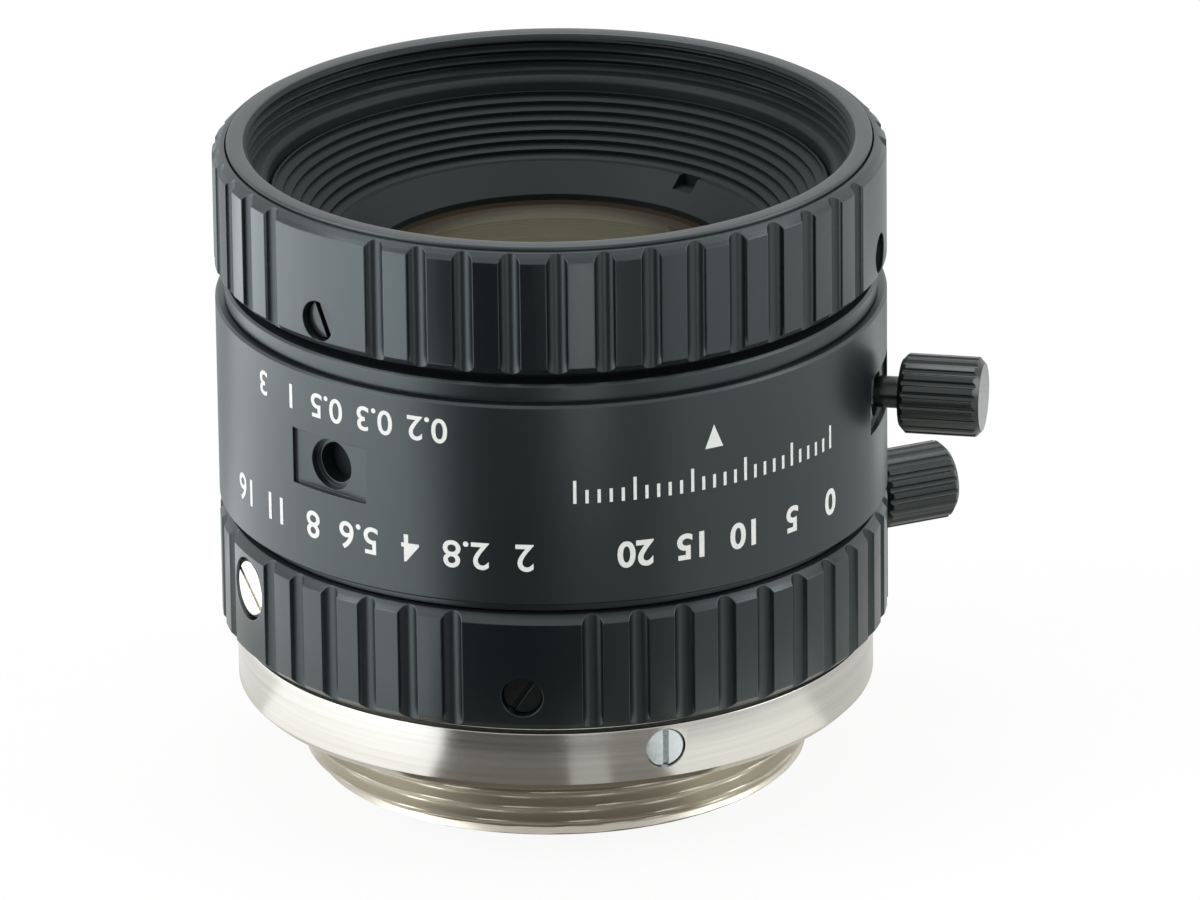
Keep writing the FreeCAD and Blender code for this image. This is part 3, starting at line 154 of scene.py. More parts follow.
def mount_shape(radius, height, angle):
    """Outline with the thread cut in: between the relief and the chamfer the radius
    falls from the crest by the depth times one minus the ridge at z / pitch - a / turn."""
    on_thread = (radius > THREAD_RADIUS - NEAR) & (height < -RELIEF_LENGTH + NEAR)
    at_end = height < THREAD_END + THREAD_CHAMFER + NEAR
    chamfered = (radius > MOUNT_BORE + BORE_CLEAR) & at_end & ~on_thread
    crest = np.where(chamfered, radius, THREAD_RADIUS)
    cut = crest - THREAD_DEPTH * (1 - ridge(height / THREAD_PITCH - angle / (2 * math.pi)))
    return np.where(on_thread | chamfered, np.minimum(radius, cut), radius), height


def radial_holes(piece, turns, height, radius, reach):
    """Drill plain holes square to the optical axis, from the outside to a reach.

    Point of a drill = (x, r cos a, height + r sin a), turned about the optical axis."""
    angle = np.linspace(0, 2 * math.pi, DRILL_SIDES, endpoint=False)
    across, up = radius * np.cos(angle), height + radius * np.sin(angle)
    bar = np.concatenate([
        np.stack([np.full(DRILL_SIDES, x), across, up], axis=-1) for x in (reach, DRILL_START)
    ])
    side = np.arange(DRILL_SIDES)
    beside = (side + 1) % DRILL_SIDES
    walls = np.stack([side, beside, DRILL_SIDES + beside, DRILL_SIDES + side], axis=-1)
    faces = [*walls.tolist(), side[::-1].tolist(), (DRILL_SIDES + side).tolist()]
    drills = []
    for turn in turns:
        cos, sin = math.cos(math.radians(turn)), math.sin(math.radians(turn))
        mesh = bpy.data.meshes.new("drill")
        turned = bar @ np.array([[cos, sin, 0], [-sin, cos, 0], [0, 0, 1]])
        mesh.from_pydata((turned * MM).tolist(), [], faces)
        drills.append(placed("drill", mesh))
        cut = piece.modifiers.new("hole", "BOOLEAN")
        cut.operation = "DIFFERENCE"
        cut.solver = "EXACT"
        cut.object = drills[-1]
    drilled = shown_mesh(piece)
    piece.modifiers.clear()
    piece.data = drilled
    drilled.name = piece.name
    drilled.set_sharp_from_angle(angle=SHARP_EDGE)
    for drill in drills:
        bpy.data.objects.remove(drill)


def mount_thread(radius, height):
    """Whether a point of the outline is on the thread or its chamfer."""
    inner = THREAD_RADIUS - THREAD_CHAMFER - EDGE_ROUND - NEAR
    return (radius > inner) & (height < -RELIEF_LENGTH + NEAR)


mount_outline = [
    (MOUNT_BORE, THREAD_END),
    (THREAD_RADIUS - THREAD_CHAMFER, THREAD_END),
    (THREAD_RADIUS, THREAD_END + THREAD_CHAMFER),
    (THREAD_RADIUS, -RELIEF_LENGTH),
    (RELIEF_RADIUS, -RELIEF_LENGTH),
    (RELIEF_RADIUS, RELIEF_HEIGHT),
    (SEAT_EDGE, RELIEF_HEIGHT),
    (SEAT_EDGE, 0),
    (MOUNT_RADIUS - MOUNT_EDGE, 0),
    (MOUNT_RADIUS, MOUNT_EDGE),
    (MOUNT_RADIUS, MOUNT_HEIGHT),
    (BOSS_RADIUS, MOUNT_HEIGHT),
    (BOSS_RADIUS, BOSS_TOP),
    (CUP_RADIUS, BOSS_TOP),
    (CUP_RADIUS, CUP_FLOOR),
    (MOUNT_BORE, CUP_FLOOR),
]
mount_outline = divided(rounded(mount_outline, EDGE_ROUND), THREAD_STEP, mount_thread)
mount_ring = turned_ring("mount_ring", mount_outline, mount_shape)
radial_holes(
    mount_ring, MOUNT_SCREW_TURNS, MOUNT_SCREW_Z, TAPPED_RADIUS, CUP_RADIUS - DRILL_PAST_WALL
)
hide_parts("c_mount_ring")
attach(mount_ring, "barrel")


def linear(code):
    """Linear colour of an sRGB hex code: c / 12.92 up to 0.04045, and above it
    ((c + 0.055) / 1.055) ^ 2.4."""
    channels = [int(code[i : i + 2], 16) / 255 for i in (1, 3, 5)]
    return (*(c / 12.92 if c <= 0.04045 else ((c + 0.055) / 1.055) ** 2.4 for c in channels), 1)


def add_node(tree, kind, settings=None, **inputs):
    """Add a shader node. Settings are its properties. An input is named, or numbered as in i0,
    and is a value or another node's socket."""
    node = tree.nodes.new(kind)
    for key, setting in (settings or {}).items():
        setattr(node, key, setting)
    for key, given in inputs.items():
        numbered = key[0] == "i" and key[1:].isdigit()
        socket = node.inputs[int(key[1:]) if numbered else key.replace("_", " ")]
        if isinstance(given, bpy.types.NodeSocket):
            tree.links.new(given, socket)
        else:
            socket.default_value = given
    return node


def new_material(name):
    """Empty node material and its tree."""
    made = bpy.data.materials.new(name)
    made.use_nodes = True
    made.node_tree.nodes.clear()
    return made, made.node_tree


def dress(piece, finish):
    """Give a piece one finish all over."""
    piece.data.materials.clear()
    piece.data.materials.append(finish)


def nickel_plate(name, dark, light, roughness, drawn):
    """Bright nickel over turned brass: warm grey metal. The tool marks run round the axis and
    draw the reflections out along it, which is the quarter turn of the shader's tangent. They
    are drawn 0.3 mm apart, coarser than the real ones."""
    made, tree = new_material(name)
    place = add_node(tree, "ShaderNodeTexCoord")
    rings = add_node(tree, "ShaderNodeMapping", Vector=place.outputs["Object"],
                     Scale=(0.04 / MM, 0.04 / MM, 3.3 / MM))
    marks = add_node(tree, "ShaderNodeTexNoise", Vector=rings.outputs[0], Scale=1.0, Detail=3.0)
    tone = add_node(tree, "ShaderNodeMix", {"data_type": "RGBA"}, i0=marks.outputs["Fac"],
                    i6=linear(dark), i7=linear(light))
    rough = add_node(tree, "ShaderNodeMapRange", Value=marks.outputs["Fac"],
                     To_Min=roughness - 0.05, To_Max=roughness + 0.05)
    bump = add_node(tree, "ShaderNodeBump", Strength=0.1, Distance=0.01 * MM,
                    Height=marks.outputs["Fac"])
    around = add_node(tree, "ShaderNodeTangent", {"direction_type": "RADIAL", "axis": "Z"})
    shader = add_node(tree, "ShaderNodeBsdfPrincipled", Base_Color=tone.outputs[2], Metallic=1.0,
                      Roughness=rough.outputs[0], Anisotropic=drawn, Anisotropic_Rotation=0.25,
                      Normal=bump.outputs[0], Tangent=around.outputs[0])
    add_node(tree, "ShaderNodeOutputMaterial", Surface=shader.outputs[0])
    return made


def finish_inside(piece, finish, inside):
    """Give a second finish to the faces whose corners all lie inside: a test of each point's
    distance from the axis and its height, in millimetres."""
    mesh = piece.data
    mesh.materials.append(finish)
    places = np.empty(3 * len(mesh.vertices))
    mesh.vertices.foreach_get("co", places)
    x, y, z = places.reshape(-1, 3).T / MM
    corners = np.empty(len(mesh.loops), dtype=np.int32)
    mesh.loops.foreach_get("vertex_index", corners)
    starts = np.empty(len(mesh.polygons), dtype=np.int32)
    mesh.polygons.foreach_get("loop_start", starts)
    every = np.logical_and.reduceat(inside(np.hypot(x, y), z)[corners], starts)
    mesh.polygons.foreach_set("material_index", every.astype(np.int32))


def inside_relief(radius, height):
    """Whether a point of the ring is below the relief and no wider than the thread."""
    return (radius < THREAD_RADIUS + 2 * NEAR) & (height < -RELIEF_LENGTH + 2 * EDGE_ROUND)


dress(mount_ring, nickel_plate("turned_nickel_plate", "#bcbab4", "#d9d8d3", 0.22, drawn=0.7))
threaded_nickel = nickel_plate("threaded_nickel_plate", "#b9b4a7", "#dad6cb", 0.36, drawn=0.3)
finish_inside(mount_ring, threaded_nickel, inside_relief)

# Bright screws. Small plated steel screws with a sawn slot: three set screws in the
# mount ring, and the drive screw whose head is sunk in the iris ring. The stop pin
# in the barrel is a plain plated pin.


def plated_screw(name, dark, light):
    """Bright plated steel, ground fine: handling leaves it clearer and duller in patches
    0.25 mm wide."""
    made, tree = new_material(name)
    place = add_node(tree, "ShaderNodeTexCoord")
    edge = add_node(tree, "ShaderNodeBevel", {"samples": 6}, Radius=0.06 * MM)
    marks = add_node(tree, "ShaderNodeTexNoise", Vector=place.outputs["Object"], Scale=4 / MM,
                     Detail=2.0)
    rough = add_node(tree, "ShaderNodeMapRange", Value=marks.outputs["Fac"], To_Min=0.16,
                     To_Max=0.32)
    tone = add_node(tree, "ShaderNodeMix", {"data_type": "RGBA"}, i0=marks.outputs["Fac"],
                    i6=linear(dark), i7=linear(light))
    shader = add_node(tree, "ShaderNodeBsdfPrincipled", Base_Color=tone.outputs[2], Metallic=1.0,
                      Roughness=rough.outputs[0], Normal=edge.outputs[0])
    add_node(tree, "ShaderNodeOutputMaterial", Surface=shader.outputs[0])
    return made


dress(nodes["mount_set_screws"], plated_screw("zinc_plated_steel", "#c3cdd1", "#e4ecee"))
nickel_screw = plated_screw("nickel_plated_steel", "#e6e3dc", "#f4f2ed")
for name in ("iris_drive_screw", "focus_stop_pin"):
    dress(nodes[name], nickel_screw)

# Outer barrel and the two grip rings. Aluminium, turned and milled, then bead
# blasted and dyed black in the anodising bath: a satin black whose edges catch
# the light.
FLUTE_FLOOR = 16.6
FLUTE_BLEND = 0.1


def axis_distance(tree, place):
    """Distance of a point from the optical axis: the length of (x, y, 0)."""
    flat = add_node(tree, "ShaderNodeVectorMath", {"operation": "MULTIPLY"},
                    i0=place.outputs["Object"], i1=(1, 1, 0))
    reach = add_node(tree, "ShaderNodeVectorMath", {"operation": "LENGTH"}, i0=flat.outputs[0])
    return reach.outputs["Value"]


def black_anodised(name, dark, light, index, roughness, grain_mm, edge_mm, milled=False):
    """Dyed anodised aluminium: a black oxide skin with a fine blasted grain, clouds of tone
    about 6 mm wide and soft edges. Its sheen is a little blue. The index is 1.7 where the skin
    is sealed and 1.4 where it is porous. In milled flutes the cutter leaves the skin duller."""
    made, tree = new_material(name)
    place = add_node(tree, "ShaderNodeTexCoord")
    edge = add_node(tree, "ShaderNodeBevel", {"samples": 6}, Radius=edge_mm * MM)
    grain = add_node(tree, "ShaderNodeTexNoise", Vector=place.outputs["Object"],
                     Scale=1 / (grain_mm * MM), Detail=2.0)
    cloud = add_node(tree, "ShaderNodeTexNoise", Vector=place.outputs["Object"],
                     Scale=0.16 / MM, Detail=3.0)
    tone = add_node(tree, "ShaderNodeMix", {"data_type": "RGBA"}, i0=cloud.outputs["Fac"],
                    i6=linear(dark), i7=linear(light))
    rough = add_node(tree, "ShaderNodeMapRange", Value=grain.outputs["Fac"],
                     To_Min=roughness - 0.05, To_Max=roughness + 0.06)
    if milled:
        flute = add_node(tree, "ShaderNodeMapRange", Value=axis_distance(tree, place),
                         From_Min=(FLUTE_FLOOR - FLUTE_BLEND) * MM, From_Max=FLUTE_FLOOR * MM,
                         To_Min=1.0, To_Max=0.0)
        rough = add_node(tree, "ShaderNodeMath", {"operation": "MULTIPLY_ADD"},
                         i0=flute.outputs[0], i1=0.14, i2=rough.outputs[0])
    bump = add_node(tree, "ShaderNodeBump", Strength=0.25, Distance=0.006 * MM,
                    Height=grain.outputs["Fac"], Normal=edge.outputs[0])
    shader = add_node(tree, "ShaderNodeBsdfPrincipled", Base_Color=tone.outputs[2], IOR=index,
                      Specular_Tint=linear("#e0eff0"), Roughness=rough.outputs[0],
                      Normal=bump.outputs[0])
    add_node(tree, "ShaderNodeOutputMaterial", Surface=shader.outputs[0])
    return made


satin_black = black_anodised(
    "satin_black_anodised", "#101416", "#171b1e", index=1.7, roughness=0.32, grain_mm=0.09,
    edge_mm=0.07,
)
ring_black = black_anodised(
    "grip_ring_black_anodised", "#0c1013", "#121619", index=1.7, roughness=0.22, grain_mm=0.09,
    edge_mm=0.08, milled=True,
)
dress(nodes["outer_barrel"], satin_black)
for name in ("focus_grip_ring", "iris_grip_ring"):
    dress(nodes[name], ring_black)

# Printed marks. Two-part white ink, pad printed on the barrel and read with the
# front down: the iris numbers, the distance numbers, and a plain scale of lines
# with a pointer.
BARREL_RADIUS = 16.75
INK_SINK = 0.03
INK_HEIGHT = 0.012
DIGIT_SHARE = 0.7    # height of a digit in its letter size
DIGIT_DEPTH = 1.0
PLAIN_WEIGHT = 0.02
BOLD_WEIGHT = 0.045
IRIS_ROW_Z = 12.05
IRIS_DIGIT = 1.4
IRIS_NUMBERS = {
    "2": -5.0, "2.8": -15.0, "4": -25.0, "5.6": -35.0, "8": -45.0, "11": -55.0, "16": -65.0,
}
DISTANCE_ROW_Z = 18.5
DISTANCE_DIGIT = 1.25
DISTANCE_NUMBERS = {"0.2": -21.5, "0.3": -31.5, "0.5": -41.5, "1": -50.0, "3": -58.0}
SCALE_NUMBER_Z = 12.1
SCALE_DIGIT = 1.3
SCALE_NUMBERS = ("0", "5", "10", "15", "20")
SCALE_ROW_Z = 15.6
SCALE_START = 54.5
SCALE_STEP = 2.04
SCALE_LINES = 26
LINES_TO_A_NUMBER = 5
LINE_HALF = 0.08
LONG_LINE = 1.2
SHORT_LINE = 0.7
POINTER_LINE = 13
POINTER_HALF = 0.5
POINTER_LENGTH = 1.2
POINTER_TOP = 18.9


def plate(outline):
    """Flat plate from an outline in millimetres: its corners at depth 0 and 1, with its sides
    and both faces as fans of triangles. It suits shapes without hollows."""
    count = len(outline)
    flat = np.array(outline, dtype=float)
    points = np.concatenate([np.c_[flat, np.zeros(count)], np.c_[flat, np.ones(count)]])
    i = np.arange(count)
    j = (i + 1) % count
    sides = np.concatenate([np.c_[i, j, count + j], np.c_[i, count + j, count + i]])
    fan = np.c_[np.zeros(count - 2, dtype=int), i[1:-1], i[2:]]
    return points, np.concatenate([sides, fan[:, ::-1], fan + count])


def numerals(body, height, weight):
    """Number as a flat plate of the given digit height, its corners at depth 0 and 1. Corners
    in one place are merged, and triangles that this empties are dropped."""
    letters = bpy.data.curves.new("numerals", "FONT")
    letters.body = body
    letters.align_x = "CENTER"
    letters.size = height / DIGIT_SHARE
    letters.offset = weight
    letters.resolution_u = 5
    letters.extrude = DIGIT_DEPTH / 2
    writing = placed("numerals", letters)
    mesh = shown_mesh(writing)
    bpy.data.objects.remove(writing)
    places = np.empty(3 * len(mesh.vertices), dtype=np.float32)
    mesh.vertices.foreach_get("co", places)
    mesh.calc_loop_triangles()
    corners = np.empty(3 * len(mesh.loop_triangles), dtype=np.int32)
    mesh.loop_triangles.foreach_get("vertices", corners)
    bpy.data.meshes.remove(mesh)
    points, merged = np.unique(places.reshape(-1, 3).round(4), axis=0, return_inverse=True)
    a, b, c = merged.reshape(-1)[corners].reshape(-1, 3).T
    whole = (a != b) & (b != c) & (c != a)
    return points + (0, 0, DIGIT_DEPTH / 2), np.c_[a, b, c][whole]


def on_barrel(flat, turn, height):
    """Lay a plate on the barrel, upside down to the camera: angle = turn - x / radius from the
    camera's side, height = height - y, radius = barrel less the sink plus the depth's share."""
    points, triangles = flat
    angle = math.radians(turn - 90) - points[:, 0] / BARREL_RADIUS
    radius = BARREL_RADIUS - INK_SINK + points[:, 2] * (INK_SINK + INK_HEIGHT)
    laid = np.c_[radius * np.cos(angle), radius * np.sin(angle), height - points[:, 1]]
    return laid, triangles


marks = []
for body, turn in IRIS_NUMBERS.items():
    number = numerals(body, IRIS_DIGIT, PLAIN_WEIGHT)
    marks.append(on_barrel(number, turn, IRIS_ROW_Z + IRIS_DIGIT))
for body, turn in DISTANCE_NUMBERS.items():
    number = numerals(body, DISTANCE_DIGIT, PLAIN_WEIGHT)
    marks.append(on_barrel(number, turn, DISTANCE_ROW_Z + DISTANCE_DIGIT))
for index, body in enumerate(SCALE_NUMBERS):
    number = numerals(body, SCALE_DIGIT, BOLD_WEIGHT)
    turn = SCALE_START - LINES_TO_A_NUMBER * index * SCALE_STEP
    marks.append(on_barrel(number, turn, SCALE_NUMBER_Z + SCALE_DIGIT))
for index in range(SCALE_LINES):
    length = SHORT_LINE if index % LINES_TO_A_NUMBER else LONG_LINE
    line = plate([(-LINE_HALF, 0), (LINE_HALF, 0), (LINE_HALF, length), (-LINE_HALF, length)])
    marks.append(on_barrel(line, SCALE_START - index * SCALE_STEP, SCALE_ROW_Z + length))
pointer = plate([(0, 0), (POINTER_HALF, POINTER_LENGTH), (-POINTER_HALF, POINTER_LENGTH)])
marks.append(on_barrel(pointer, SCALE_START - POINTER_LINE * SCALE_STEP, POINTER_TOP))
starts = np.cumsum([0] + [len(points) for points, _ in marks[:-1]])
printed_marks = mesh_object(
    "printed_marks",
    np.concatenate([points for points, _ in marks]),
    np.concatenate([triangles + start for (_, triangles), start in zip(marks, starts)]),
)


def pad_print():
    """White printing ink: dense and matt, a little thinner in specks 0.1 mm wide."""
    made, tree = new_material("white_printing_ink")
    place = add_node(tree, "ShaderNodeTexCoord")
    specks = add_node(tree, "ShaderNodeTexNoise", Vector=place.outputs["Object"],
                      Scale=10 / MM, Detail=2.0)
    tone = add_node(tree, "ShaderNodeMix", {"data_type": "RGBA"}, i0=specks.outputs["Fac"],
                    i6=linear("#cfd2cf"), i7=linear("#eef0ed"))
    shader = add_node(tree, "ShaderNodeBsdfPrincipled", Base_Color=tone.outputs[2], Roughness=0.5)
    add_node(tree, "ShaderNodeOutputMaterial", Surface=shader.outputs[0])
    return made


dress(printed_marks, pad_print())
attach(printed_marks, "barrel")

# Focus sleeve. The same aluminium, with the filter thread inside its front rim.
# The rim stands just clear of the focus grip ring. Inside, the skin is left porous
# and flat black.
SLEEVE_BASE = 12.6
SLEEVE_RADIUS = 15.2
SLEEVE_BORE = 14.0
SWIVEL_RADIUS = 14.35
SWIVEL_TOP = 16.0
SEAT_RADIUS = 15.5
SEAT_BASE = 21.925
RIM_RADIUS = 16.05
RIM_BASE = 27.6
RIM_TOP = 28.7
RIM_EDGE = 0.12
FILTER_RADIUS = 14.98
FILTER_FLOOR = 26.8
FILTER_CHAMFER = 0.25
FILTER_PITCH = 0.5
FILTER_DEPTH = 0.54 * FILTER_PITCH
FILTER_STEP = 0.05
FILTER_START = FILTER_FLOOR + 0.05
FILTER_END = RIM_TOP - 0.2
NOTCH_TOP = 14.1
NOTCH_HALF = 46.8


def filter_thread(radius, height):
    """Whether a point of the outline is on the filter thread's crest."""
    return np.abs(radius - FILTER_RADIUS) < NEAR


def sleeve_shape(radius, height, angle):
    """Outline with the filter thread cut outwards into the bore of the rim, by the depth
    times one minus the ridge, and the base raised inside the stop pin's notch."""
    thread = filter_thread(radius, height) & (height > FILTER_START) & (height < FILTER_END)
    cut = FILTER_DEPTH * (1 - ridge(height / FILTER_PITCH - angle / (2 * math.pi)))
    turn = (np.degrees(angle) + 180) % 360 - 180
    notch = (np.abs(turn) < NOTCH_HALF) & (height < NOTCH_TOP)
    return radius + np.where(thread, cut, 0), np.where(notch, NOTCH_TOP, height)


sleeve_outline = [
    (SWIVEL_RADIUS, SLEEVE_BASE),
    (SLEEVE_RADIUS, SLEEVE_BASE),
    (SLEEVE_RADIUS, SEAT_BASE),
    (SEAT_RADIUS, SEAT_BASE),
    (SEAT_RADIUS, RIM_BASE),
    (RIM_RADIUS, RIM_BASE),
    (RIM_RADIUS, RIM_TOP),
    (FILTER_RADIUS + FILTER_CHAMFER, RIM_TOP),
    (FILTER_RADIUS, RIM_TOP - FILTER_CHAMFER),
    (FILTER_RADIUS, FILTER_FLOOR),
    (SLEEVE_BORE + FILTER_CHAMFER, FILTER_FLOOR),
    (SLEEVE_BORE, FILTER_FLOOR - FILTER_CHAMFER),
    (SLEEVE_BORE, SWIVEL_TOP),
    (SWIVEL_RADIUS, SWIVEL_TOP),
]
sleeve_outline = divided(rounded(sleeve_outline, RIM_EDGE), FILTER_STEP, filter_thread)
focus_sleeve = turned_ring("threaded_sleeve", sleeve_outline, sleeve_shape)
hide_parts("focus_sleeve")
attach(focus_sleeve, "focus_ring")
flat_black = black_anodised(
    "flat_black_anodised", "#0b0e0f", "#111415", index=1.4, roughness=0.55, grain_mm=0.08,
    edge_mm=0.03,
)
dress(focus_sleeve, satin_black)
finish_inside(
    focus_sleeve, flat_black, lambda radius, height: radius < FILTER_RADIUS + FILTER_DEPTH + NEAR
)

# Optics barrel, retaining rings and spacers. Aluminium with the flat black skin, to
# swallow stray light: duller than the outside, with the funnel's fine steps.
for name in (
    "optics_barrel", "front_retaining_ring", "front_spacer", "second_spacer", "iris_base",
    "rear_cell", "rear_spacer", "rear_retaining_ring", "swivel_ring",
):
    dress(nodes[name], flat_black)

# Black screws and lock screws. Steel, black oxide finish with a little oil, the
# lock screws' heads straight knurled.


def black_oxide():
    """Oiled black oxide on steel: a glossy black skin, mottled every 0.17 mm, with bright
    glints on its edges."""
    made, tree = new_material("black_oxide_steel")
    place = add_node(tree, "ShaderNodeTexCoord")
    edge = add_node(tree, "ShaderNodeBevel", {"samples": 6}, Radius=0.06 * MM)
    grain = add_node(tree, "ShaderNodeTexNoise", Vector=place.outputs["Object"], Scale=6 / MM,
                     Detail=3.0)
    rough = add_node(tree, "ShaderNodeMapRange", Value=grain.outputs["Fac"], To_Min=0.16,
                     To_Max=0.3)
    tone = add_node(tree, "ShaderNodeMix", {"data_type": "RGBA"}, i0=grain.outputs["Fac"],
                    i6=linear("#0c0d0e"), i7=linear("#151617"))
    shader = add_node(tree, "ShaderNodeBsdfPrincipled", Base_Color=tone.outputs[2], IOR=1.65,
                      Specular_Tint=linear("#e4ecec"), Roughness=rough.outputs[0],
                      Normal=edge.outputs[0])
    add_node(tree, "ShaderNodeOutputMaterial", Surface=shader.outputs[0])
    return made


black_steel = black_oxide()
for name in (
    "guide_screw", "focus_set_screws", "iris_set_screws", "focus_lock_screw", "iris_lock_screw",
):
    dress(nodes[name], black_steel)

# Lenses. Optical glass, ground and polished, with an anti-reflection coating.
# Its faint brown-green reflection is a painted reflection in the glass's colour.
# Radii in millimetres where the painted reflection turns from olive to brown.
PAINTED_OLIVE_RADIUS = 5.0
PAINTED_BROWN_RADIUS = 8.2


def glass_with_painted_reflection():
    """Coated optical glass: clear and polished, with a little dust about 1 mm apart. The
    coating holds most of the reflection back, so the index is set at 1.45. At a low angle less
    light passes through, and a painted reflection shows in its colour, olive in the middle and
    brown at the rim."""
    made, tree = new_material("optical_glass_painted_reflection")
    place = add_node(tree, "ShaderNodeTexCoord")
    dust = add_node(tree, "ShaderNodeTexNoise", Vector=place.outputs["Object"], Scale=0.9 / MM,
                    Detail=3.0)
    rough = add_node(tree, "ShaderNodeMapRange", Value=dust.outputs["Fac"], To_Min=0.0,
                     To_Max=0.02)
    share = add_node(tree, "ShaderNodeMapRange", {"interpolation_type": "SMOOTHSTEP"},
                     Value=axis_distance(tree, place), From_Min=PAINTED_OLIVE_RADIUS * MM,
                     From_Max=PAINTED_BROWN_RADIUS * MM)
    # Painted reflection: the base colour goes from olive in the middle to brown at the rim.
    painted_reflection_tone = add_node(tree, "ShaderNodeMix", {"data_type": "RGBA"}, i0=share.outputs[0],
                    i6=linear("#9a9980"), i7=linear("#63513e"))
    low_angle = add_node(tree, "ShaderNodeLayerWeight", Blend=0.5)
    clear = add_node(tree, "ShaderNodeMapRange", Value=low_angle.outputs["Facing"], From_Min=0.3,
                     From_Max=0.7, To_Min=0.96, To_Max=0.7)
    shader = add_node(tree, "ShaderNodeBsdfPrincipled", Base_Color=painted_reflection_tone.outputs[2],
                      Roughness=rough.outputs[0], IOR=1.45, Transmission_Weight=clear.outputs[0],
                      Specular_Tint=linear("#b5a77c"))
    add_node(tree, "ShaderNodeOutputMaterial", Surface=shader.outputs[0])
    return made


glass = glass_with_painted_reflection()
for name in (
    "front_lens", "second_lens", "third_lens", "doublet_front_lens", "doublet_rear_lens",
    "rear_lens",
):
    dress(nodes[name], glass)

# Iris. A turned brass cam ring drives six blades, punched from thin steel and
# blued. Each blade swings on its stud in the base plate.
BLADES = 6


def inner_metal(name, dark, light, roughness):
    """Bare inner metal, evenly worn: a soft gloss that changes over 0.25 mm."""
    made, tree = new_material(name)
    place = add_node(tree, "ShaderNodeTexCoord")
    wear = add_node(tree, "ShaderNodeTexNoise", Vector=place.outputs["Object"], Scale=4 / MM,
                    Detail=2.0)
    tone = add_node(tree, "ShaderNodeMix", {"data_type": "RGBA"}, i0=wear.outputs["Fac"],
                    i6=linear(dark), i7=linear(light))
    rough = add_node(tree, "ShaderNodeMapRange", Value=wear.outputs["Fac"],
                     To_Min=roughness - 0.06, To_Max=roughness + 0.06)
    shader = add_node(tree, "ShaderNodeBsdfPrincipled", Base_Color=tone.outputs[2], Metallic=1.0,
                      Roughness=rough.outputs[0])
    add_node(tree, "ShaderNodeOutputMaterial", Surface=shader.outputs[0])
    return made


dress(nodes["iris_cam_ring"], inner_metal("turned_brass", "#a98b4e", "#c4a765", roughness=0.3))
blued_steel = inner_metal("blued_blade_steel", "#222426", "#33363a", roughness=0.4)
for index in range(BLADES):
    dress(nodes[f"iris_blade_{index + 1}"], blued_steel)

# Lock pads. Small nylon slugs under the lock screws' tips, so that they don't
# mark the thread.


def moulded_nylon():
    """Natural nylon: milky, with a dull skin that clouds every 0.2 mm."""
    made, tree = new_material("moulded_nylon")
    place = add_node(tree, "ShaderNodeTexCoord")
    skin = add_node(tree, "ShaderNodeTexNoise", Vector=place.outputs["Object"], Scale=5 / MM)
    tone = add_node(tree, "ShaderNodeMix", {"data_type": "RGBA"}, i0=skin.outputs["Fac"],
                    i6=linear("#d8d4c6"), i7=linear("#e8e5da"))
    shader = add_node(tree, "ShaderNodeBsdfPrincipled", Base_Color=tone.outputs[2], Roughness=0.5)
    add_node(tree, "ShaderNodeOutputMaterial", Surface=shader.outputs[0])
    return made


nylon = moulded_nylon()
for name in ("focus_lock_pad", "iris_lock_pad"):
    dress(nodes[name], nylon)

# Floor. A sweep of matt white paper, a hair under the lens. It shows as white to the
# camera and in the metal, and keeps the lens's soft shadow.
FLOOR_GAP = 0.02
FLOOR_Z = (THREAD_END - FLOOR_GAP) * MM
FLOOR_HALF = 1.5


def seen_share(tree):
    """1 for rays of the camera, of mirrors and through glass, else 0."""
    ray = add_node(tree, "ShaderNodeLightPath")
    mirrored = add_node(tree, "ShaderNodeMath", {"operation": "MAXIMUM"},
                        i0=ray.outputs["Is Camera Ray"], i1=ray.outputs["Is Glossy Ray"])
    seen = add_node(tree, "ShaderNodeMath", {"operation": "MAXIMUM"}, i0=mirrored.outputs[0],
                    i1=ray.outputs["Is Transmission Ray"])
    return seen.outputs[0]


def white_sweep():
    """Matt white paper that glows, where it is seen, by 0.9 of its light."""
    made, tree = new_material("white_sweep")
    share = add_node(tree, "ShaderNodeMath", {"operation": "MULTIPLY"}, i0=seen_share(tree),
                     i1=0.9)
    paper = add_node(tree, "ShaderNodeBsdfDiffuse", Color=linear("#f4f4f2"))
    glow = add_node(tree, "ShaderNodeEmission", Color=linear("#ffffff"), Strength=1.0)
    mix = add_node(tree, "ShaderNodeMixShader", i0=share.outputs[0], i1=paper.outputs[0],
                   i2=glow.outputs[0])
    add_node(tree, "ShaderNodeOutputMaterial", Surface=mix.outputs[0])
    return made


def flat_card(name, corners, height, finish):
    """One flat polygon that belongs to the studio, not to the lens."""
    mesh = bpy.data.meshes.new(name)
    points = np.c_[corners, np.full(len(corners), height)]
    mesh.from_pydata(points.tolist(), [], [list(range(len(points)))])
    mesh.materials.append(finish)
    card = placed(name, mesh)
    return card


floor_corners = FLOOR_HALF * np.array([(-1, -1), (1, -1), (1, 1), (-1, 1)])
flat_card("floor", floor_corners, FLOOR_Z, white_sweep())

# Cards. Papers and light boards on the floor round the lens, which only mirrors see.
# The thread reflects the contact cards, a painted shadow round the foot of the lens that is
# darkest on the camera's side. The mount ring reflects the papers, the iris ring and
# the barrel the low cards, the focus ring the rest, and the lock knob the end board.
CARD_Z = FLOOR_Z + FLOOR_GAP * MM
CARD_POINTS = 60
CARD_NEAR = 11.3 * MM
# Outer edge of the contact cards' painted shadow.
CONTACT_SHADOW_FAR = 20.5 * MM
PAPER_FAR = 36 * MM
END_NEAR = 46 * MM
LOW_FAR = 76 * MM
CARD_FAR = 0.6


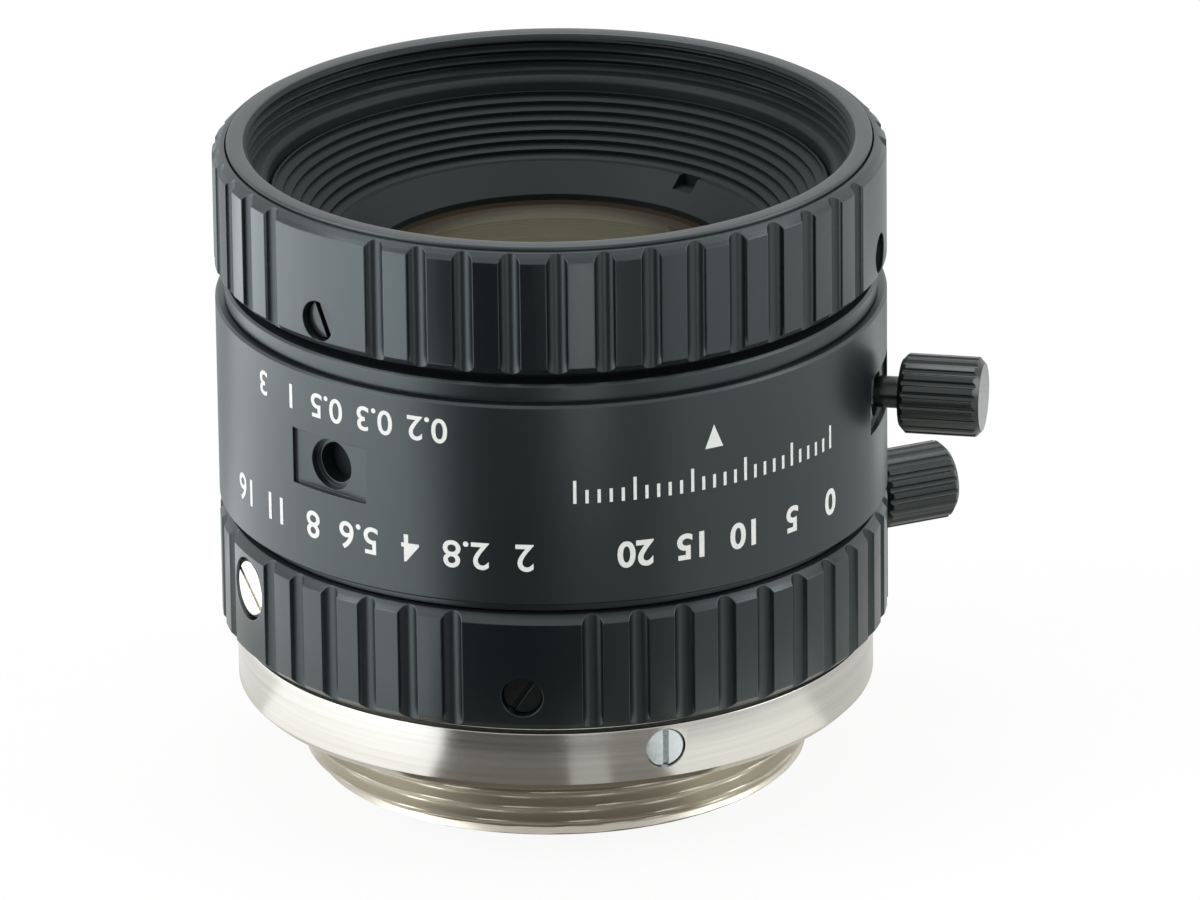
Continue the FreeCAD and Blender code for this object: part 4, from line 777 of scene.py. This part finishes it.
def board(name, code, strength):
    """Glowing board, up to a tenth brighter or darker in clouds 33 mm wide."""
    made, tree = new_material(name)
    place = add_node(tree, "ShaderNodeTexCoord")
    cloud = add_node(tree, "ShaderNodeTexNoise", Vector=place.outputs["Object"], Scale=0.03 / MM)
    level = add_node(tree, "ShaderNodeMapRange", Value=cloud.outputs["Fac"],
                     To_Min=0.9 * strength, To_Max=1.1 * strength)
    glow = add_node(tree, "ShaderNodeEmission", Color=linear(code), Strength=level.outputs[0])
    add_node(tree, "ShaderNodeOutputMaterial", Surface=glow.outputs[0])
    return made


def floor_card(name, code, strength, left, right, inner, outer):
    """Sector of a ring on the floor. Its sides are turns in degrees from the camera's side:
    point = (r sin a, -r cos a)."""
    turns = np.radians(np.linspace(left, right, CARD_POINTS))
    around = np.c_[np.sin(turns), -np.cos(turns)]
    corners = np.concatenate([inner * around, outer * around[::-1]])
    card = flat_card(name, corners, CARD_Z, board(name + "_board", code, strength))
    card.visible_camera = False
    card.visible_diffuse = False
    card.visible_shadow = False
    card.visible_transmission = False


for card in (
    # Painted shadow: the three contact cards are darker than the lit floor, darkest in front.
    ("left_contact_shadow_card", "#dcdad2", 1.0, -180, -38, CARD_NEAR, CONTACT_SHADOW_FAR),
    ("contact_shadow_card", "#6e675b", 1.0, -38, 38, CARD_NEAR, CONTACT_SHADOW_FAR),
    ("right_contact_shadow_card", "#d8d6ca", 1.0, 38, 179.9, CARD_NEAR, CONTACT_SHADOW_FAR),
    ("left_side_paper", "#f6f6f2", 1.0, -128, -92, CONTACT_SHADOW_FAR, PAPER_FAR),
    ("left_paper", "#f6f6f4", 1.6, -92, -31, CONTACT_SHADOW_FAR, PAPER_FAR),
    ("middle_paper", "#7c7a74", 1.0, -31, 3, CONTACT_SHADOW_FAR, PAPER_FAR),
    ("strip_paper", "#c4c6c1", 1.0, 3, 13, CONTACT_SHADOW_FAR, PAPER_FAR),
    ("grey_paper", "#93928c", 1.0, 13, 28, CONTACT_SHADOW_FAR, PAPER_FAR),
    ("right_paper", "#f0f0ec", 1.4, 28, 78, CONTACT_SHADOW_FAR, PAPER_FAR),
    ("right_side_paper", "#f0f0ec", 0.88, 78, 128, CONTACT_SHADOW_FAR, PAPER_FAR),
    ("left_low_board", "#f4f7fa", 2.0, -128, -33, PAPER_FAR, LOW_FAR),
    ("dark_low_card", "#201f1d", 1.0, -33, 14, PAPER_FAR, LOW_FAR),
    ("grey_low_card", "#8c8b84", 1.0, 14, 34, PAPER_FAR, LOW_FAR),
    ("right_low_board", "#e4e6e4", 0.8, 34, 128, PAPER_FAR, LOW_FAR),
    ("left_board", "#f4f7fa", 3.2, -128, -42, LOW_FAR, CARD_FAR),
    ("dark_card", "#201f1d", 1.0, -42, 3, LOW_FAR, CARD_FAR),
    ("strip_board", "#f6f6f2", 2.5, 3, 16, LOW_FAR, CARD_FAR),
    ("grey_card", "#8c8b84", 1.0, 16, 34, LOW_FAR, CARD_FAR),
    ("right_board", "#f0f2f2", 1.2, 34, 128, LOW_FAR, CARD_FAR),
    ("left_side_card", "#d4d8da", 1.0, -175, -128, CONTACT_SHADOW_FAR, CARD_FAR),
    ("end_board", "#f0f2f2", 1.5, 128, 140, END_NEAR, LOW_FAR),
    ("right_low_card", "#f0f2f2", 0.8, 128, 140, CONTACT_SHADOW_FAR, END_NEAR),
    ("right_far_card", "#f0f2f2", 0.8, 128, 140, LOW_FAR, CARD_FAR),
    ("right_side_card", "#f0f2f2", 0.65, 140, 175, CONTACT_SHADOW_FAR, CARD_FAR),
):
    floor_card(*card)

# Light. Two large soft boxes, left and right, a smaller one above, and a plain
# white surround.
LAMP_AIM = (0, 0, 0.012)


def soft_box(name, place, width, height, power):
    """Rectangular area lamp turned towards the middle of the lens."""
    lamp = bpy.data.lights.new(name, "AREA")
    lamp.shape = "RECTANGLE"
    lamp.size = width
    lamp.size_y = height
    lamp.energy = power
    box = placed(name, lamp)
    box.location = place
    box.rotation_euler = (Vector(LAMP_AIM) - Vector(place)).to_track_quat("-Z", "Y").to_euler()


soft_box("left_box", (-0.35, -0.12, 0.22), width=0.3, height=0.35, power=1.0)
soft_box("right_box", (0.36, -0.05, 0.2), width=0.22, height=0.3, power=0.6)
soft_box("top_box", (0.0, 0.12, 0.42), width=0.3, height=0.3, power=0.7)

world = bpy.data.worlds.new("white_studio")
bpy.context.scene.world = world
world.use_nodes = True
studio = world.node_tree
studio.nodes.clear()
level = add_node(studio, "ShaderNodeMapRange", Value=seen_share(studio), To_Min=0.55, To_Max=1.0)
surround = add_node(studio, "ShaderNodeBackground", Color=linear("#ffffff"),
                    Strength=level.outputs[0])
add_node(studio, "ShaderNodeOutputWorld", Surface=surround.outputs[0])

# Camera. A long lens 0.6 m away, from the side and a little above level, turned by
# under a degree, as in the photograph.
SENSOR = 36.0
FOCAL_LENGTH = 359.1
DISTANCE = 0.6
ELEVATION = math.radians(21.33)
ROLL = math.radians(-0.77)
AIM_Z = 11.9 * MM
IMAGE_WIDTH = 1200
AXIS_X = 553.2

camera_data = bpy.data.cameras.new("camera")
camera_data.sensor_width = SENSOR
camera_data.lens = FOCAL_LENGTH
camera_data.clip_start = 0.01
camera_data.clip_end = 20
camera_data.shift_x = (IMAGE_WIDTH / 2 - AXIS_X) / IMAGE_WIDTH
camera = placed("camera", camera_data)
camera.location = (
    0, -DISTANCE * math.cos(ELEVATION), AIM_Z + DISTANCE * math.sin(ELEVATION)
)
camera.rotation_mode = "ZXY"
camera.rotation_euler = (math.pi / 2 - ELEVATION, 0, ROLL)
bpy.context.scene.camera = camera
bpy.context.scene.view_settings.view_transform = "Standard"
